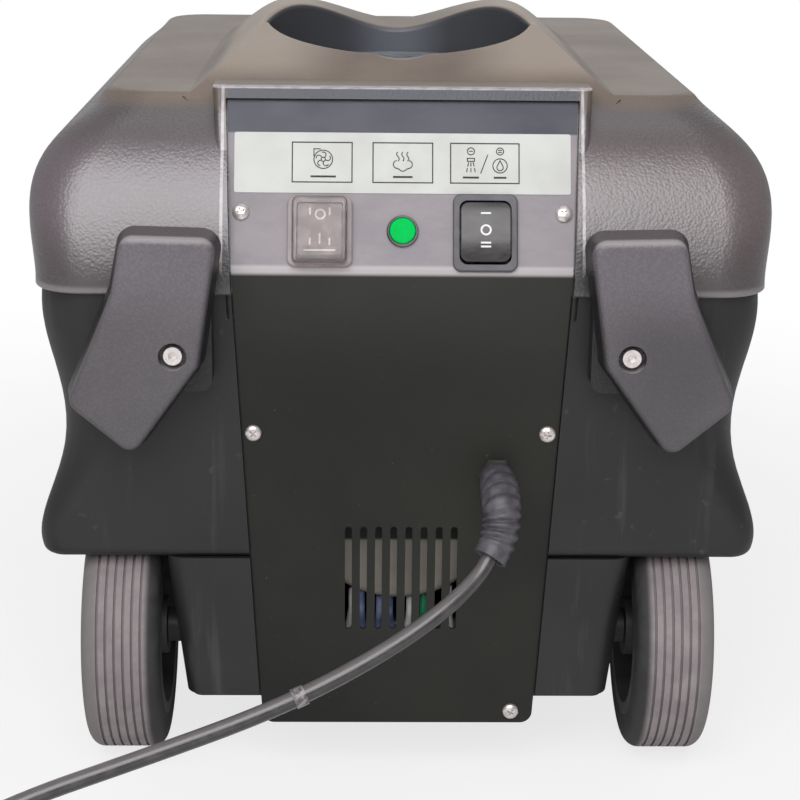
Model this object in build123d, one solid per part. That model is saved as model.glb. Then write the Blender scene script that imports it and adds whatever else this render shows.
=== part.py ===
from build123d import *
import math
import os

# Portable carpet cleaner: a moulded tank body on a machinery housing, two rear wheels, two castors,
# and a folded control panel at the back with switches, vent and power cord.
# Millimetres. +Z is up, the control panel faces -Y, and the origin is on the floor under the middle.

os.makedirs("parts", exist_ok=True)

BASE = (Align.CENTER, Align.CENTER, Align.MIN)

# Clearances
RUN_FIT = 0.05            # radial play of a shaft in its bore
SEAT_FIT = 0.3            # gap between neighbours that must not rub
LOOSE_FIT = 0.6           # gap round a sheet or a lid that drops into place
OVERRUN = 1.0             # a cut goes this far past the face that it opens
TOUCH = 0.01              # two heights closer than this are the same
EDGE_SHARE = 0.3          # rounding of a small moulded rim, as a share of its height

# Overall length, from the cord hooks to the front face
HOOK_REACH = 29.0         # hook face behind the rear wall
MACHINERY_LENGTH = 311.0  # housing under the tank body, from the rear wall
FRONT_OVERHANG = 150.0    # tank body ahead of the housing
LENGTH = HOOK_REACH + MACHINERY_LENGTH + FRONT_OVERHANG
REAR_Y = -LENGTH / 2 + HOOK_REACH
FRONT_Y = LENGTH / 2
HOUSING_FRONT_Y = REAR_Y + MACHINERY_LENGTH

# Levels of the tank body: its underside, and the rise from each level to the next
SKIRT_Z = 117.0
FLARE_RISE = 16.0
WAIST_RISE = 43.0
KNEE_RISE = 74.0
SHOULDER_RISE = 54.0
DECK_RISE = 33.0
FLARE_Z = SKIRT_Z + FLARE_RISE
WAIST_Z = FLARE_Z + WAIST_RISE
KNEE_Z = WAIST_Z + KNEE_RISE
SHOULDER_Z = KNEE_Z + SHOULDER_RISE
DECK_Z = SHOULDER_Z + DECK_RISE

# Half width at the flare, and how far the other levels draw in from it
BODY_HALF = 175.5
SKIRT_DRAW = 1.5
WAIST_DRAW = 11.5
KNEE_DRAW = 3.0
SHOULDER_DRAW = 0.5
DECK_DRAW = 30.5
SKIRT_HALF = BODY_HALF - SKIRT_DRAW
WAIST_HALF = BODY_HALF - WAIST_DRAW
KNEE_HALF = BODY_HALF - KNEE_DRAW
SHOULDER_HALF = BODY_HALF - SHOULDER_DRAW
DECK_HALF = BODY_HALF - DECK_DRAW
KNEE_STEP = 3.0           # lip of the upper body over the lower walls
SHOULDER_INSET = 14.0     # rear shoulder ahead of the rear wall
DECK_INSET = 56.0
FRONT_SHOULDER_INSET = 2.0
FRONT_DECK_INSET = 28.0
SWELL = 2.4               # bulge of the sides between two levels of the upper body
REAR_SWELL = 3.5          # bulge of the rear between the knee and the shoulder
REAR_CROWN = 8.0          # bulge of the rear between the shoulder and the deck
CORNER_R = 26.0
SKIRT_CORNER_R = 13.0     # tighter corners at the flare
DECK_ROUND = 7.0
SKIRT_ROUND = 5.0
KNEE_ROUND = 1.2
WALL = 8.0                # moulded wall
FLARE_EASE = 0.6          # share of the flare that is gone half way up to the waist
KNEE_EASE = 0.55          # share of the knee's width that is there half way up from the waist

# Raised saddle on the deck, with the round well of the recovery tank
HUMP_HALF = DECK_HALF - 27.0
HUMP_NOSE_HALF = HUMP_HALF - 22.0    # where it dies into the front deck
HUMP_FLANK = HUMP_HALF - 18.0
HUMP_PEAK_X = 62.0
HUMP_FOOT_Z = DECK_Z - 7.0
HUMP_FLANK_Z = DECK_Z + 2.0
HUMP_PEAK_Z = DECK_Z + 28.0
HUMP_VALLEY_Z = DECK_Z + 13.0
HUMP_CREST_Z = DECK_Z + 31.0
HUMP_REAR_Y = REAR_Y + 32.0
HUMP_FRONT_Y = HOUSING_FRONT_Y + 11.0
HUMP_TAIL_Z = DECK_Z - 22.0          # its tail dips into the rear bulge
HUMP_TAIL_SHARE = 0.27    # first rise, as a share of the way from the block to the well
HUMP_TAIL_RISE_Z = DECK_Z + 8.0
HUMP_BACK_SHARE = 0.65    # second rise
HUMP_BACK_RISE_Z = DECK_Z + 20.0
HUMP_NOSE_SHARE = 0.6     # fall, as a share of the way from the well to the front
HUMP_WAIST_SHARE = 0.75   # of the full width, beside the block
WELL_Y = REAR_Y + 160.0
WELL_R = 70.0
WELL_FLOOR_Z = DECK_Z - 7.0
WELL_ROUND = 2.5
MOUTH_R = 54.0

# Control panel, a folded steel sheet in a shallow niche
SHEET = 1.5
NICHE_DEPTH = 2.6
PANEL_Y = REAR_Y + 2.0
PANEL_BOTTOM_Z = 28.0
PANEL_BEND_Z = KNEE_Z + 10.0
PANEL_TOP_Z = DECK_Z
PANEL_LEAN = 22.0         # degrees from upright above the bend
PANEL_BOTTOM_HALF = 67.5
PANEL_BEND_HALF = 80.5
PANEL_TOP_HALF = 83.2
PANEL_CORNER = 6.0
PANEL_FLANGE = 12.0       # seat of the sheet round the machinery bay
BLOCK_MARGIN = 4.5        # moulded frame beside the panel
BLOCK_TOP_Z = PANEL_TOP_Z + 5.0
BLOCK_FOOT_Z = KNEE_Z - 12.0
BLOCK_ROUND = 3.0

# Machinery bay and tanks inside the moulding
BAY_TOP_Z = DECK_Z - 11.0
BAY_DEPTH_Y = REAR_Y + 88.0
FAN_ROOM = 10.0           # motor bay round the fan housing
BAY_ROOF = 9.0            # between the motor bay and the recovery tank
RECOVERY_HALF = BODY_HALF - 27.5
RECOVERY_FRONT_Y = HOUSING_FRONT_Y - 43.0
ARCH_ROOF = 10.0          # between a wheel arch and the recovery tank
SOLUTION_HALF = BODY_HALF - 25.5
SOLUTION_FRONT_Y = FRONT_Y - 51.0
SOLUTION_FLOOR_Z = SKIRT_Z + 10.0
SOLUTION_TOP_Z = DECK_Z - 32.0
TANK_ROUND = 10.0

# Machinery housing under the tank body, closed by a steel tray
HOUSING_WHEEL_GAP = 3.5
HOUSING_TAPER = 9.0
HOUSING_BOTTOM_Z = 44.0
HOUSING_WALL = 6.0
HOUSING_CORNER = 10.0
HOUSING_INNER_CORNER = 4.0
TRAY_SHEET = 2.0
TRAY_INSET = 3.0
TRAY_FLANGE_HALF = 63.0
TRAY_SCREW_INSET = 13.0
TRAY_BOSS_R = 8.0

# Rear wheels on a through axle
WHEEL_R = 62.5
WHEEL_WIDTH = 38.0
WHEEL_INSET = 19.5        # outer face of the wheel inside the flare
AXLE_Y = REAR_Y + 46.0
AXLE_R = 6.0
RIM_R = 46.0
RIM_WALL = 6.0
HUB_R = 15.0
WEB = 8.0
WEB_HOLES = 5
WEB_HOLE_R = 8.0
HUB_RECESS = 5.0          # end of the hub inside the wheel's outer face
TREAD_GROOVES = 6
GROOVE_PITCH = 4.25
GROOVE_WIDTH = 1.3
GROOVE_DEPTH = 1.2
TREAD_ROUND = 7.0
ARCH_GAP = 6.0
BUSH_R = 9.0
BUSH_LENGTH = 22.0
CAP_R = 13.0
CAP_LENGTH = 8.0
CAP_WALL = 3.0

# Swivel castors under the front
CASTOR_X = BODY_HALF - 53.5
CASTOR_Y = HOUSING_FRONT_Y + 77.0
CASTOR_R = 37.5
CASTOR_WIDTH = 24.0
CASTOR_ROUND = 4.0
CASTOR_TRAIL = 28.0
CASTOR_AXLE_R = 4.0
CASTOR_PLATE = 3.0
CASTOR_PLATE_SIZE = 60.0
CASTOR_BOLT_PITCH = 44.0
KINGPIN_R = 5.0
KINGPIN_LENGTH = 14.0
KINGPIN_HEAD_R = 9.0      # keeps the fork on the pin
FORK_HEAD_R = 23.0
FORK_HEAD = 6.0
FORK_LEG = 4.0
FORK_LEG_WIDTH = 22.0
FORK_EYE_R = 7.7
FORK_GAP = 1.5
CASTOR_NUT_R = 6.0
CASTOR_NUT = 5.0

# Cord hooks
HOOK_X = PANEL_BEND_HALF + 25.5      # bolt, from the middle
HOOK_BOLT_Z = KNEE_Z - 23.0
HOOK_PLATE = 17.0
HOOK_DRAFT = 10.0         # degrees
HOOK_ROUND = 3.0
HOOK_FOOT_WIDTH = 34.0
HOOK_FOOT_HEIGHT = 42.0
HOOK_BOLT_R = 2.5
HOOK_HEAD_R = 4.3
HOOK_HEAD = 5.0
HOOK_SOCKET_R = 2.2
HOOK_SINK_R = 6.6
HOOK_SINK = 6.5
HOOK_BOLT_GRIP = 6.0      # thread in the wall

# Panel fasteners
SCREW_R = 2.0
SCREW_HEAD_R = 4.0
SCREW_HEAD = 2.6
SCREW_CROWN = 1.8         # rounding of the pan head
SCREW_LENGTH = 9.0
SCREW_EDGE = 5.2          # screw centre to the sheet's edge
TOP_SCREW_S = 28.7        # up the leaning face from the bend
MID_SCREW_Z = KNEE_Z - 69.0
LOW_SCREW_Z = 34.5
LOW_SCREW_X = 57.0        # one screw at the foot, on the right

# Label and switches, placed up the leaning face from the bend
LABEL_HEIGHT = 29.0
LABEL_S = 38.0
LABEL_MARGIN = 2.2
LABEL_SHEET = 0.4
LABEL_CORNER = 1.0
SWITCH_X = 39.0
SWITCH_S = 19.3
SWITCH_DEPTH = 24.0
SWITCH_WALL = 1.6
BEZEL = 2.5
BEZEL_CORNER = 4.0
POCKET_DEPTH = 10.0
PIVOT_R = 1.5
PIVOT_REACH = 1.0
PIVOT_DEPTH = 2.0         # pivot below the panel face
ROCKER_CORE_R = 3.6
ROCKER_SIDE_GAP = 0.4
ROCKER_ROUND = 0.6        # rounding round the face of a rocker
VACUUM_BEZEL = (30.7, 33.6)
VACUUM_WINDOW = (22.0, 28.0)
VACUUM_CORNER = 1.5
VACUUM_TILT = 9.0         # degrees either side of level
COVER_HEIGHT = 7.0
COVER_SHEET = 0.8
COVER_MARGIN = 1.2
COVER_CORNER = 3.0
COVER_ROUND = 1.8
PUMP_BEZEL = (30.5, 37.0)
PUMP_WINDOW = (24.6, 30.6)
PUMP_CORNER = 4.0
ROCKER_END_GAP = 1.2
ROCKER_EDGE_Z = 4.2
ROCKER_DISH = 1.4
ROCKER_DOME = 2.0
ROCKER_FOOT_Z = -1.0
BUTTON_S = 19.9
BUTTON_R = 6.15
BUTTON_RING_R = 7.5
BUTTON_RING = 2.0
BUTTON_PROUD = 2.8
BUTTON_CAP = 6.6
BUTTON_STEM_R = 3.0
BUTTON_STEM = 13.0
BUTTON_BARREL_R = 6.9
BUTTON_BARREL = 18.0
BUTTON_WELL = 8.0

# Vent
VENT_SLOTS = 8
VENT_PITCH = 7.4
VENT_WIDTH = 3.4
VENT_HEIGHT = 54.0
VENT_X = 1.0
VENT_Z = 106.0

# Cord gland, bend sleeve and cord
GLAND_X = 47.0
GLAND_Z = 160.0
GLAND_FLATS = 15.0
GLAND_HEX = 8.0
GLAND_NUT = 4.0
GLAND_THREAD_R = 6.0
GLAND_THREAD = 7.0
GLAND_ROUND = 1.0
SLEEVE_STRAIGHT = 28.0    # gland to the middle of the sleeve's first bend
SLEEVE_KNEE_OUT = 35.0    # second bend, from the gland
SLEEVE_KNEE_DROP = 15.4
SLEEVE_END_OUT = 40.0
SLEEVE_END_SIDE = 6.0
SLEEVE_END_DROP = 24.4
SLEEVE_FIRST_RIB = 0.6    # of the rib pitch, from the gland
SLEEVE_R = 7.2
SLEEVE_RIB_R = 8.4
SLEEVE_RIB = 2.0
SLEEVE_RIBS = 8
SLEEVE_ROUND = 14.0
CORD_R = 4.0
CORD_LENGTH = 5370.0
COIL_MID_R = 48.0
COIL_WIDE = 40.0
COIL_TALL = 32.0
COIL_LIFT = 2.4
COIL_ROUND = 9.0
TIE_SHEET = 1.2
TIE_WIDTH = 12.0
TAPE_SHEET = 0.7
TAPE_LENGTH = 6.0
ARC_SHARE = 0.45          # of the shorter run, taken by an arc
CORD_LEAD = 1.84          # first cord point, as a share of the way from the second bend to the sleeve's end

# Plug
PLUG_R = 17.0
PLUG_LENGTH = 34.0
PLUG_NECK_R = 7.0
PLUG_NECK = 16.0
PIN_R = 2.4
PIN_LENGTH = 19.0
PIN_PITCH = 19.0
PIN_ROUND = 1.4
TAIL_LENGTH = 80.0

# Machinery
MOTOR_Z = 143.0
MOTOR_END_R = 52.0
MOTOR_END = 14.0
MOTOR_END_GAP = 8.0       # behind the panel sheet
MOTOR_R = 48.0
MOTOR_LENGTH = 70.0
FAN_R = 66.0
FAN_LENGTH = 56.0
CRADLE_WIDTH = 84.0
CRADLE = 26.0
PUMP_SIZE = (58.0, 46.0, 44.0)
PUMP_MOTOR_R = 24.0
PUMP_MOTOR = 62.0
PUMP_X = -44.0
PUMP_Y = HOUSING_FRONT_Y - 55.0
HEATER_SIZE = (60.0, 110.0, 42.0)
HEATER_X = 50.0
HEATER_Y = HOUSING_FRONT_Y - 69.0
HEATER_ROUND = 6.0
TERMINAL_SIZE = (64.0, 14.0, 18.0)
TERMINAL_Y = PANEL_Y + 18.0
WIRE_R = 1.9
WIRE_BEND = 0.3           # height of the first bend, as a share of the wire's rise
WIRE_SETS = {             # vent slots, counted from the left, with the lean of the wire in each
    "white": [(0, 2.0), (4, 1.5), (7, -1.5)],
    "blue": [(1, -1.0), (2, 1.0), (3, -1.5)],
    "green": [(5, 1.0)],
}

# Recovery tank fittings
LID_SHEET = 4.0
LID_R = 66.0
SPIGOT = 9.0
SPIGOT_WALL = 3.0
SEAL = 1.5
SEAL_INNER_R = 57.0
SEAL_OUTER_R = 64.5
LID_BEAD = 2.0
STANDPIPE_R = 20.0
STANDPIPE_WALL = 3.0
STANDPIPE_TOP_Z = DECK_Z - 51.0
STRAINER_R = 24.0
STRAINER_HEIGHT = 26.0
STRAINER_WALL = 2.0
STRAINER_ROUND = 3.0
STRAINER_SLOTS = 8
STRAINER_SLOT = 6.0

# Solution filler, sunk in the front deck
FILLER_Y = FRONT_Y - 95.0
FILLER_WELL_R = 46.0
FILLER_FLOOR_Z = DECK_Z - 24.0
NECK_R = 34.0
NECK_BORE_R = 28.0
NECK_HEIGHT = 13.0
GASKET = 2.5
FILLER_CAP_R = 40.0
FILLER_CAP_TOP = 5.0
FILLER_CAP_ROUND = 2.0
FILLER_CAP_LIFT = 1.2     # cap's skirt over the floor of its recess
FILLER_CAP_FLUTES = 10
FLUTE_R = 5.0
FLUTE_OUT = 2.8           # flute centre outside the cap's edge

# Front niche with hose port, spray coupler and drain
NICHE_HALF = 105.0
NICHE_HIGH_Z = SHOULDER_Z - 6.0
NICHE_LOW_Z = NICHE_HIGH_Z - 106.0
NICHE_FLOOR_Y = FRONT_Y - 42.0
NICHE_ROUND = 10.0
PORT_X = -58.0
PORT_Z = NICHE_HIGH_Z - 40.0
PORT_BORE_R = 19.0
PORT_WALL = 3.0
PORT_FLANGE_R = 32.0
PORT_FLANGE = 4.0
PORT_REACH = 37.0
COUPLER_X = 58.0
COUPLER_Z = NICHE_HIGH_Z - 58.0
COUPLER_FLATS = 22.0
COUPLER_HEX = 8.0
COUPLER_R = 6.0
COUPLER_REACH = 24.0
COUPLER_COLLAR_R = 8.0
COUPLER_COLLAR = 4.0
COUPLER_BORE_R = 3.0
DRAIN_Z = SKIRT_Z + 31.0
DRAIN_WELL_R = 24.0
DRAIN_FLOOR_Y = FRONT_Y - 21.0
DRAIN_CAP_R = 18.0
DRAIN_CAP = 13.0
DRAIN_SPIGOT_R = 11.0
DRAIN_SPIGOT = 18.0

# Sizes that follow from the ones above
LEAN = math.radians(PANEL_LEAN)
AXLE_Z = WHEEL_R
WHEEL_OUTER_X = BODY_HALF - WHEEL_INSET
WHEEL_INNER_X = WHEEL_OUTER_X - WHEEL_WIDTH
HUB_END_X = WHEEL_OUTER_X - HUB_RECESS
HOUSING_TOP_HALF = WHEEL_INNER_X - HOUSING_WHEEL_GAP
HOUSING_BOTTOM_HALF = HOUSING_TOP_HALF - HOUSING_TAPER
PANEL_SEAT_Y = PANEL_Y + SHEET
TRAY_Z = HOUSING_BOTTOM_Z - TRAY_SHEET
MOTOR_REAR_Y = PANEL_SEAT_Y + MOTOR_END_GAP
FAN_REAR_Y = MOTOR_REAR_Y + MOTOR_END + MOTOR_LENGTH
MOTOR_BAY_HALF = FAN_R + FAN_ROOM
MOTOR_BAY_FRONT_Y = FAN_REAR_Y + FAN_LENGTH + FAN_ROOM
MOTOR_BAY_TOP_Z = MOTOR_Z + FAN_R + FAN_ROOM
RECOVERY_FLOOR_Z = MOTOR_BAY_TOP_Z + BAY_ROOF
RECOVERY_WING_Z = AXLE_Z + WHEEL_R + ARCH_GAP + ARCH_ROOF
RECOVERY_WING_TOP_Z = RECOVERY_FLOOR_Z + 2 * WALL
LID_Z = WELL_FLOOR_Z + SEAL
CASTOR_PLATE_Z = SKIRT_Z - CASTOR_PLATE


def mix(a, b, share):
    return a + (b - a) * share


def slab(x, y, z):
    """A box from three (low, high) pairs."""
    size = [high - low for low, high in (x, y, z)]
    middle = [(high + low) / 2 for low, high in (x, y, z)]
    return Pos(*middle) * Box(*size)


def rod(start, end, radius):
    """A round bar between two points."""
    axis = Vector(*end) - Vector(*start)
    return Plane(origin=start, z_dir=axis) * Cylinder(radius, axis.length, align=BASE)


def disc(x, y, z, radius, height):
    """An upright cylinder standing on the given point."""
    return Pos(x, y, z) * Cylinder(radius, height, align=BASE)


def prism_yz(points, half):
    """A side outline, in (y, z), carried the same way to both sides."""
    outline = Polyline(*[(0, y, z) for y, z in points], close=True)
    return extrude(make_face(outline), amount=half, dir=(1, 0, 0), both=True)


def prism_xz(points, rear, front):
    """A rear outline, in (x, z), carried from rear to front."""
    outline = Polyline(*[(x, rear, z) for x, z in points], close=True)
    return extrude(make_face(outline), amount=front - rear, dir=(0, 1, 0))


def mirrored(points):
    """Right-hand points of a rear outline, with their mirror images."""
    return points + [(-x, z) for x, z in reversed(points)]


def level_edges(part, z):
    """Edges that lie flat at one height."""
    flat = [e for e in part.edges() if e.bounding_box().size.Z < TOUCH]
    return [e for e in flat if abs(e.center().Z - z) < TOUCH]


def on_lean(x, s):
    """Plane on the leaning face, s up the slope from the bend: x right, y up the slope, z out."""
    origin = (x, PANEL_Y + s * math.sin(LEAN), PANEL_BEND_Z + s * math.cos(LEAN))
    return Plane(origin=origin, x_dir=(1, 0, 0), z_dir=(0, -math.cos(LEAN), math.sin(LEAN)))


def on_wall(x, z):
    """Plane on the upright part of the panel: x right, y up, z out."""
    return Plane(origin=(x, PANEL_Y, z), x_dir=(1, 0, 0), z_dir=(0, -1, 0))


def panel_line(depth, lift=0.0):
    """Side line of the panel, a depth behind its outer face, lengthened at both ends by lift."""
    rise = PANEL_TOP_Z - PANEL_BEND_Z + lift * math.cos(LEAN)
    bottom = (PANEL_Y + depth, PANEL_BOTTOM_Z - lift)
    bend = (PANEL_Y + depth, PANEL_BEND_Z - depth * math.tan(LEAN / 2))
    top_y = PANEL_Y + rise * math.tan(LEAN) + depth * math.cos(LEAN)
    top = (top_y, PANEL_BEND_Z + rise - depth * math.sin(LEAN))
    return [bottom, bend, top]


def panel_layer(front, back, lift=0.0):
    """Closed side outline of a layer that follows the panel."""
    return panel_line(front, lift) + panel_line(back, lift)[::-1]


def panel_outline(margin):
    """Rear outline of the panel, grown by a margin all round."""
    right = [
        (PANEL_BOTTOM_HALF + margin, PANEL_BOTTOM_Z - margin),
        (PANEL_BEND_HALF + margin, PANEL_BEND_Z),
        (PANEL_TOP_HALF + margin, PANEL_TOP_Z + margin),
    ]
    return mirrored(right)


def panel_half(z):
    """Half width of the panel at a height."""
    if z < PANEL_BEND_Z:
        share = (z - PANEL_BOTTOM_Z) / (PANEL_BEND_Z - PANEL_BOTTOM_Z)
        return mix(PANEL_BOTTOM_HALF, PANEL_BEND_HALF, share)
    share = (z - PANEL_BEND_Z) / (PANEL_TOP_Z - PANEL_BEND_Z)
    return mix(PANEL_BEND_HALF, PANEL_TOP_HALF, share)


def panel_space(front, back, margin):
    """The room that a layer of the panel takes, from one depth to another."""
    layer = prism_yz(panel_layer(front, back, max(margin, 0)), LENGTH)
    return layer & prism_xz(panel_outline(margin), -LENGTH, LENGTH)


def section(z, half, rear, front, corner=CORNER_R):
    """Rounded plan outline of the tank body at one height."""
    return Pos(0, (rear + front) / 2, z) * RectangleRounded(2 * half, front - rear, corner)


def swollen(low, high, rear_swell):
    """A level half way between two others, bulged at the sides and the rear."""
    z, half, rear, front = [(a + b) / 2 for a, b in zip(low, high)]
    return z, half + SWELL, rear - rear_swell, front


def body_outside():
    """Tank body without its hollows: a waisted lower half and a bulging upper half."""
    eased_half = mix(BODY_HALF, WAIST_HALF, FLARE_EASE)
    eased_corner = mix(SKIRT_CORNER_R, CORNER_R, FLARE_EASE)
    lower = [
        (SKIRT_Z, SKIRT_HALF, REAR_Y, FRONT_Y, SKIRT_CORNER_R),
        (FLARE_Z, BODY_HALF, REAR_Y, FRONT_Y, SKIRT_CORNER_R),
        ((FLARE_Z + WAIST_Z) / 2, eased_half, REAR_Y, FRONT_Y, eased_corner),
        (WAIST_Z, WAIST_HALF, REAR_Y, FRONT_Y),
        ((WAIST_Z + KNEE_Z) / 2, mix(WAIST_HALF, KNEE_HALF, KNEE_EASE), REAR_Y, FRONT_Y),
        (KNEE_Z, KNEE_HALF, REAR_Y, FRONT_Y),
    ]
    knee = (KNEE_Z, KNEE_HALF + KNEE_STEP, REAR_Y - KNEE_STEP, FRONT_Y)
    shoulder = (SHOULDER_Z, SHOULDER_HALF, REAR_Y + SHOULDER_INSET, FRONT_Y - FRONT_SHOULDER_INSET)
    deck = (DECK_Z, DECK_HALF, REAR_Y + DECK_INSET, FRONT_Y - FRONT_DECK_INSET)
    lower_bulge = swollen(knee, shoulder, REAR_SWELL)
    upper = [knee, lower_bulge, shoulder, swollen(shoulder, deck, REAR_CROWN), deck]
    body = loft([section(*s) for s in upper])
    body = fillet(level_edges(body, DECK_Z), DECK_ROUND)
    body = fillet(level_edges(body, KNEE_Z), KNEE_ROUND)
    skirt = loft([section(*s) for s in lower])
    return body + fillet(level_edges(skirt, SKIRT_Z), SKIRT_ROUND)


def control_block():
    """Moulded frame that stands out of the rear bulge and carries the panel."""
    face = panel_line(-NICHE_DEPTH, BLOCK_TOP_Z - PANEL_TOP_Z)
    face[0] = (face[0][0], BLOCK_FOOT_Z)
    inner_y = REAR_Y + DECK_INSET + CORNER_R
    side = face + [(inner_y, face[2][1]), (inner_y, BLOCK_FOOT_Z)]
    foot_half = panel_half(BLOCK_FOOT_Z) + BLOCK_MARGIN
    top_half = panel_half(PANEL_TOP_Z) + BLOCK_MARGIN + NICHE_DEPTH
    rear = mirrored([(foot_half, BLOCK_FOOT_Z), (top_half, BLOCK_TOP_Z + NICHE_DEPTH)])
    block = prism_yz(side, LENGTH) & prism_xz(rear, -LENGTH, LENGTH)
    rim = [e for e in block.edges() if e.center().Y < face[2][0] + OVERRUN]
    rim = [e for e in rim if abs(e.center().X) > OVERRUN and e.center().Z > BLOCK_FOOT_Z + OVERRUN]
    return fillet(rim, BLOCK_ROUND)


def hump():
    """Saddle on the deck: high beside the well, lower in front of it and behind it."""
    crown = [
        (HUMP_HALF, HUMP_FOOT_Z),
        (HUMP_FLANK, HUMP_FLANK_Z),
        (HUMP_PEAK_X, HUMP_PEAK_Z),
        (0, HUMP_VALLEY_Z),
    ]
    crown = crown + [(-x, z) for x, z in crown[-2::-1]]
    root_z = HUMP_FOOT_Z - WELL_R / 2
    across = Spline(*[(x, 0, z) for x, z in crown])
    across += Polyline((-HUMP_HALF, 0, HUMP_FOOT_Z), (-HUMP_HALF, 0, root_z), (HUMP_HALF, 0, root_z),
                       (HUMP_HALF, 0, HUMP_FOOT_Z))
    saddle = extrude(make_face(across), amount=LENGTH, dir=(0, 1, 0), both=True)
    ridge = [
        (HUMP_REAR_Y, HUMP_TAIL_Z),
        (mix(HUMP_REAR_Y, WELL_Y, HUMP_TAIL_SHARE), HUMP_TAIL_RISE_Z),
        (mix(HUMP_REAR_Y, WELL_Y, HUMP_BACK_SHARE), HUMP_BACK_RISE_Z),
        (WELL_Y + WELL_R / 4, HUMP_CREST_Z),
        (WELL_Y + WELL_R, HUMP_CREST_Z),
        (mix(WELL_Y + WELL_R, HUMP_FRONT_Y, HUMP_NOSE_SHARE), HUMP_VALLEY_Z),
        (HUMP_FRONT_Y, HUMP_FOOT_Z),
    ]
    along = Spline(*[(0, y, z) for y, z in ridge])
    along += Polyline((0, HUMP_FRONT_Y, HUMP_FOOT_Z), (0, HUMP_FRONT_Y, root_z), (0, HUMP_REAR_Y, root_z),
                      (0, *ridge[0]))
    saddle &= extrude(make_face(along), amount=HUMP_HALF, dir=(1, 0, 0), both=True)
    tail_half = panel_half(PANEL_TOP_Z) + BLOCK_MARGIN
    right = [(tail_half, HUMP_REAR_Y), (mix(tail_half, HUMP_HALF, HUMP_WAIST_SHARE), REAR_Y + DECK_INSET),
             (HUMP_HALF, WELL_Y), (HUMP_NOSE_HALF, HUMP_FRONT_Y)]
    plan = make_face(Polyline(*[(x, y, root_z) for x, y in mirrored(right)], close=True))
    return saddle & extrude(plan, amount=LENGTH, dir=(0, 0, 1))


def round_well(part):
    """Sinks the well and rounds its rim."""
    part = part - disc(0, WELL_Y, WELL_FLOOR_Z, WELL_R, LENGTH)

    def on_rim(edge):
        spots = [edge.position_at(i / 4) for i in range(5)]
        return all(abs(math.hypot(p.X, p.Y - WELL_Y) - WELL_R) < TOUCH for p in spots)

    rim = [e for e in part.edges() if on_rim(e) and e.center().Z > DECK_Z]
    return fillet(rim, WELL_ROUND)


def recovery_hollow():
    """Dirty-water tank over and beside the motor bay, with its mouth in the well."""
    top_z = WELL_FLOOR_Z - WALL
    rear = BAY_DEPTH_Y + WALL
    tank = slab((-RECOVERY_HALF, RECOVERY_HALF), (rear, RECOVERY_FRONT_Y), (RECOVERY_FLOOR_Z, top_z))
    for side in (-1, 1):
        span = sorted((side * (MOTOR_BAY_HALF + WALL), side * RECOVERY_HALF))
        wing = slab(span, (REAR_Y + 1.5 * WALL, RECOVERY_FRONT_Y), (RECOVERY_WING_Z, RECOVERY_WING_TOP_Z))
        tank += wing
    upright = tank.edges().filter_by(Axis.Z)
    tank = fillet(upright, TANK_ROUND / 2)
    return tank + disc(0, WELL_Y, top_z - WALL, MOUTH_R, 3 * WALL)


def solution_hollow():
    """Clean-water tank at the front, with its filler neck."""
    rear = RECOVERY_FRONT_Y + WALL
    tank = slab((-SOLUTION_HALF, SOLUTION_HALF), (rear, SOLUTION_FRONT_Y), (SOLUTION_FLOOR_Z, SOLUTION_TOP_Z))
    tank = fillet(tank.edges().filter_by(Axis.Z), TANK_ROUND)
    return tank + disc(0, FILLER_Y, SOLUTION_TOP_Z - WALL, NECK_BORE_R, FILLER_FLOOR_Z)


def machinery_bay():
    """Room behind the panel and round the motor, open below."""
    face = panel_line(SHEET - NICHE_DEPTH)
    low = SKIRT_Z - WALL
    side = [(face[0][0], low), face[1], (face[2][0], BAY_TOP_Z), (BAY_DEPTH_Y, BAY_TOP_Z), (BAY_DEPTH_Y, low)]
    bay = prism_yz(side, LENGTH) & prism_xz(panel_outline(-PANEL_FLANGE), -LENGTH, LENGTH)
    rear = PANEL_SEAT_Y + WALL
    return bay + slab((-MOTOR_BAY_HALF, MOTOR_BAY_HALF), (rear, MOTOR_BAY_FRONT_Y), (low, MOTOR_BAY_TOP_Z))


def wheel_arches():
    """Clearance for the top of each rear wheel."""
    inner = WHEEL_INNER_X - ARCH_GAP / 3
    outer = WHEEL_OUTER_X + ARCH_GAP / 2
    arches = [rod((side * inner, AXLE_Y, AXLE_Z), (side * outer, AXLE_Y, AXLE_Z), WHEEL_R + ARCH_GAP)
              for side in (-1, 1)]
    return arches[0] + arches[1]


def front_recesses():
    """Niche for the hose connections, the drain recess and the passages behind them."""
    niche = slab((-NICHE_HALF, NICHE_HALF), (NICHE_FLOOR_Y, LENGTH), (NICHE_LOW_Z, NICHE_HIGH_Z))
    niche = fillet(niche.edges().filter_by(Axis.Y), NICHE_ROUND)
    pipe_r = PORT_BORE_R + PORT_WALL + RUN_FIT
    pipe = rod((PORT_X, RECOVERY_FRONT_Y - WALL, PORT_Z), (PORT_X, NICHE_FLOOR_Y + OVERRUN, PORT_Z), pipe_r)
    stub_r = COUPLER_R + RUN_FIT
    stub = rod((COUPLER_X, SOLUTION_FRONT_Y - WALL, COUPLER_Z),
               (COUPLER_X, NICHE_FLOOR_Y + OVERRUN, COUPLER_Z), stub_r)
    drain = rod((0, DRAIN_FLOOR_Y, DRAIN_Z), (0, LENGTH, DRAIN_Z), DRAIN_WELL_R)
    drain_bore = rod((0, SOLUTION_FRONT_Y - WALL, DRAIN_Z), (0, DRAIN_FLOOR_Y + OVERRUN, DRAIN_Z),
                     DRAIN_SPIGOT_R + SEAT_FIT)
    return [niche, pipe, stub, drain, drain_bore]


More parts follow.
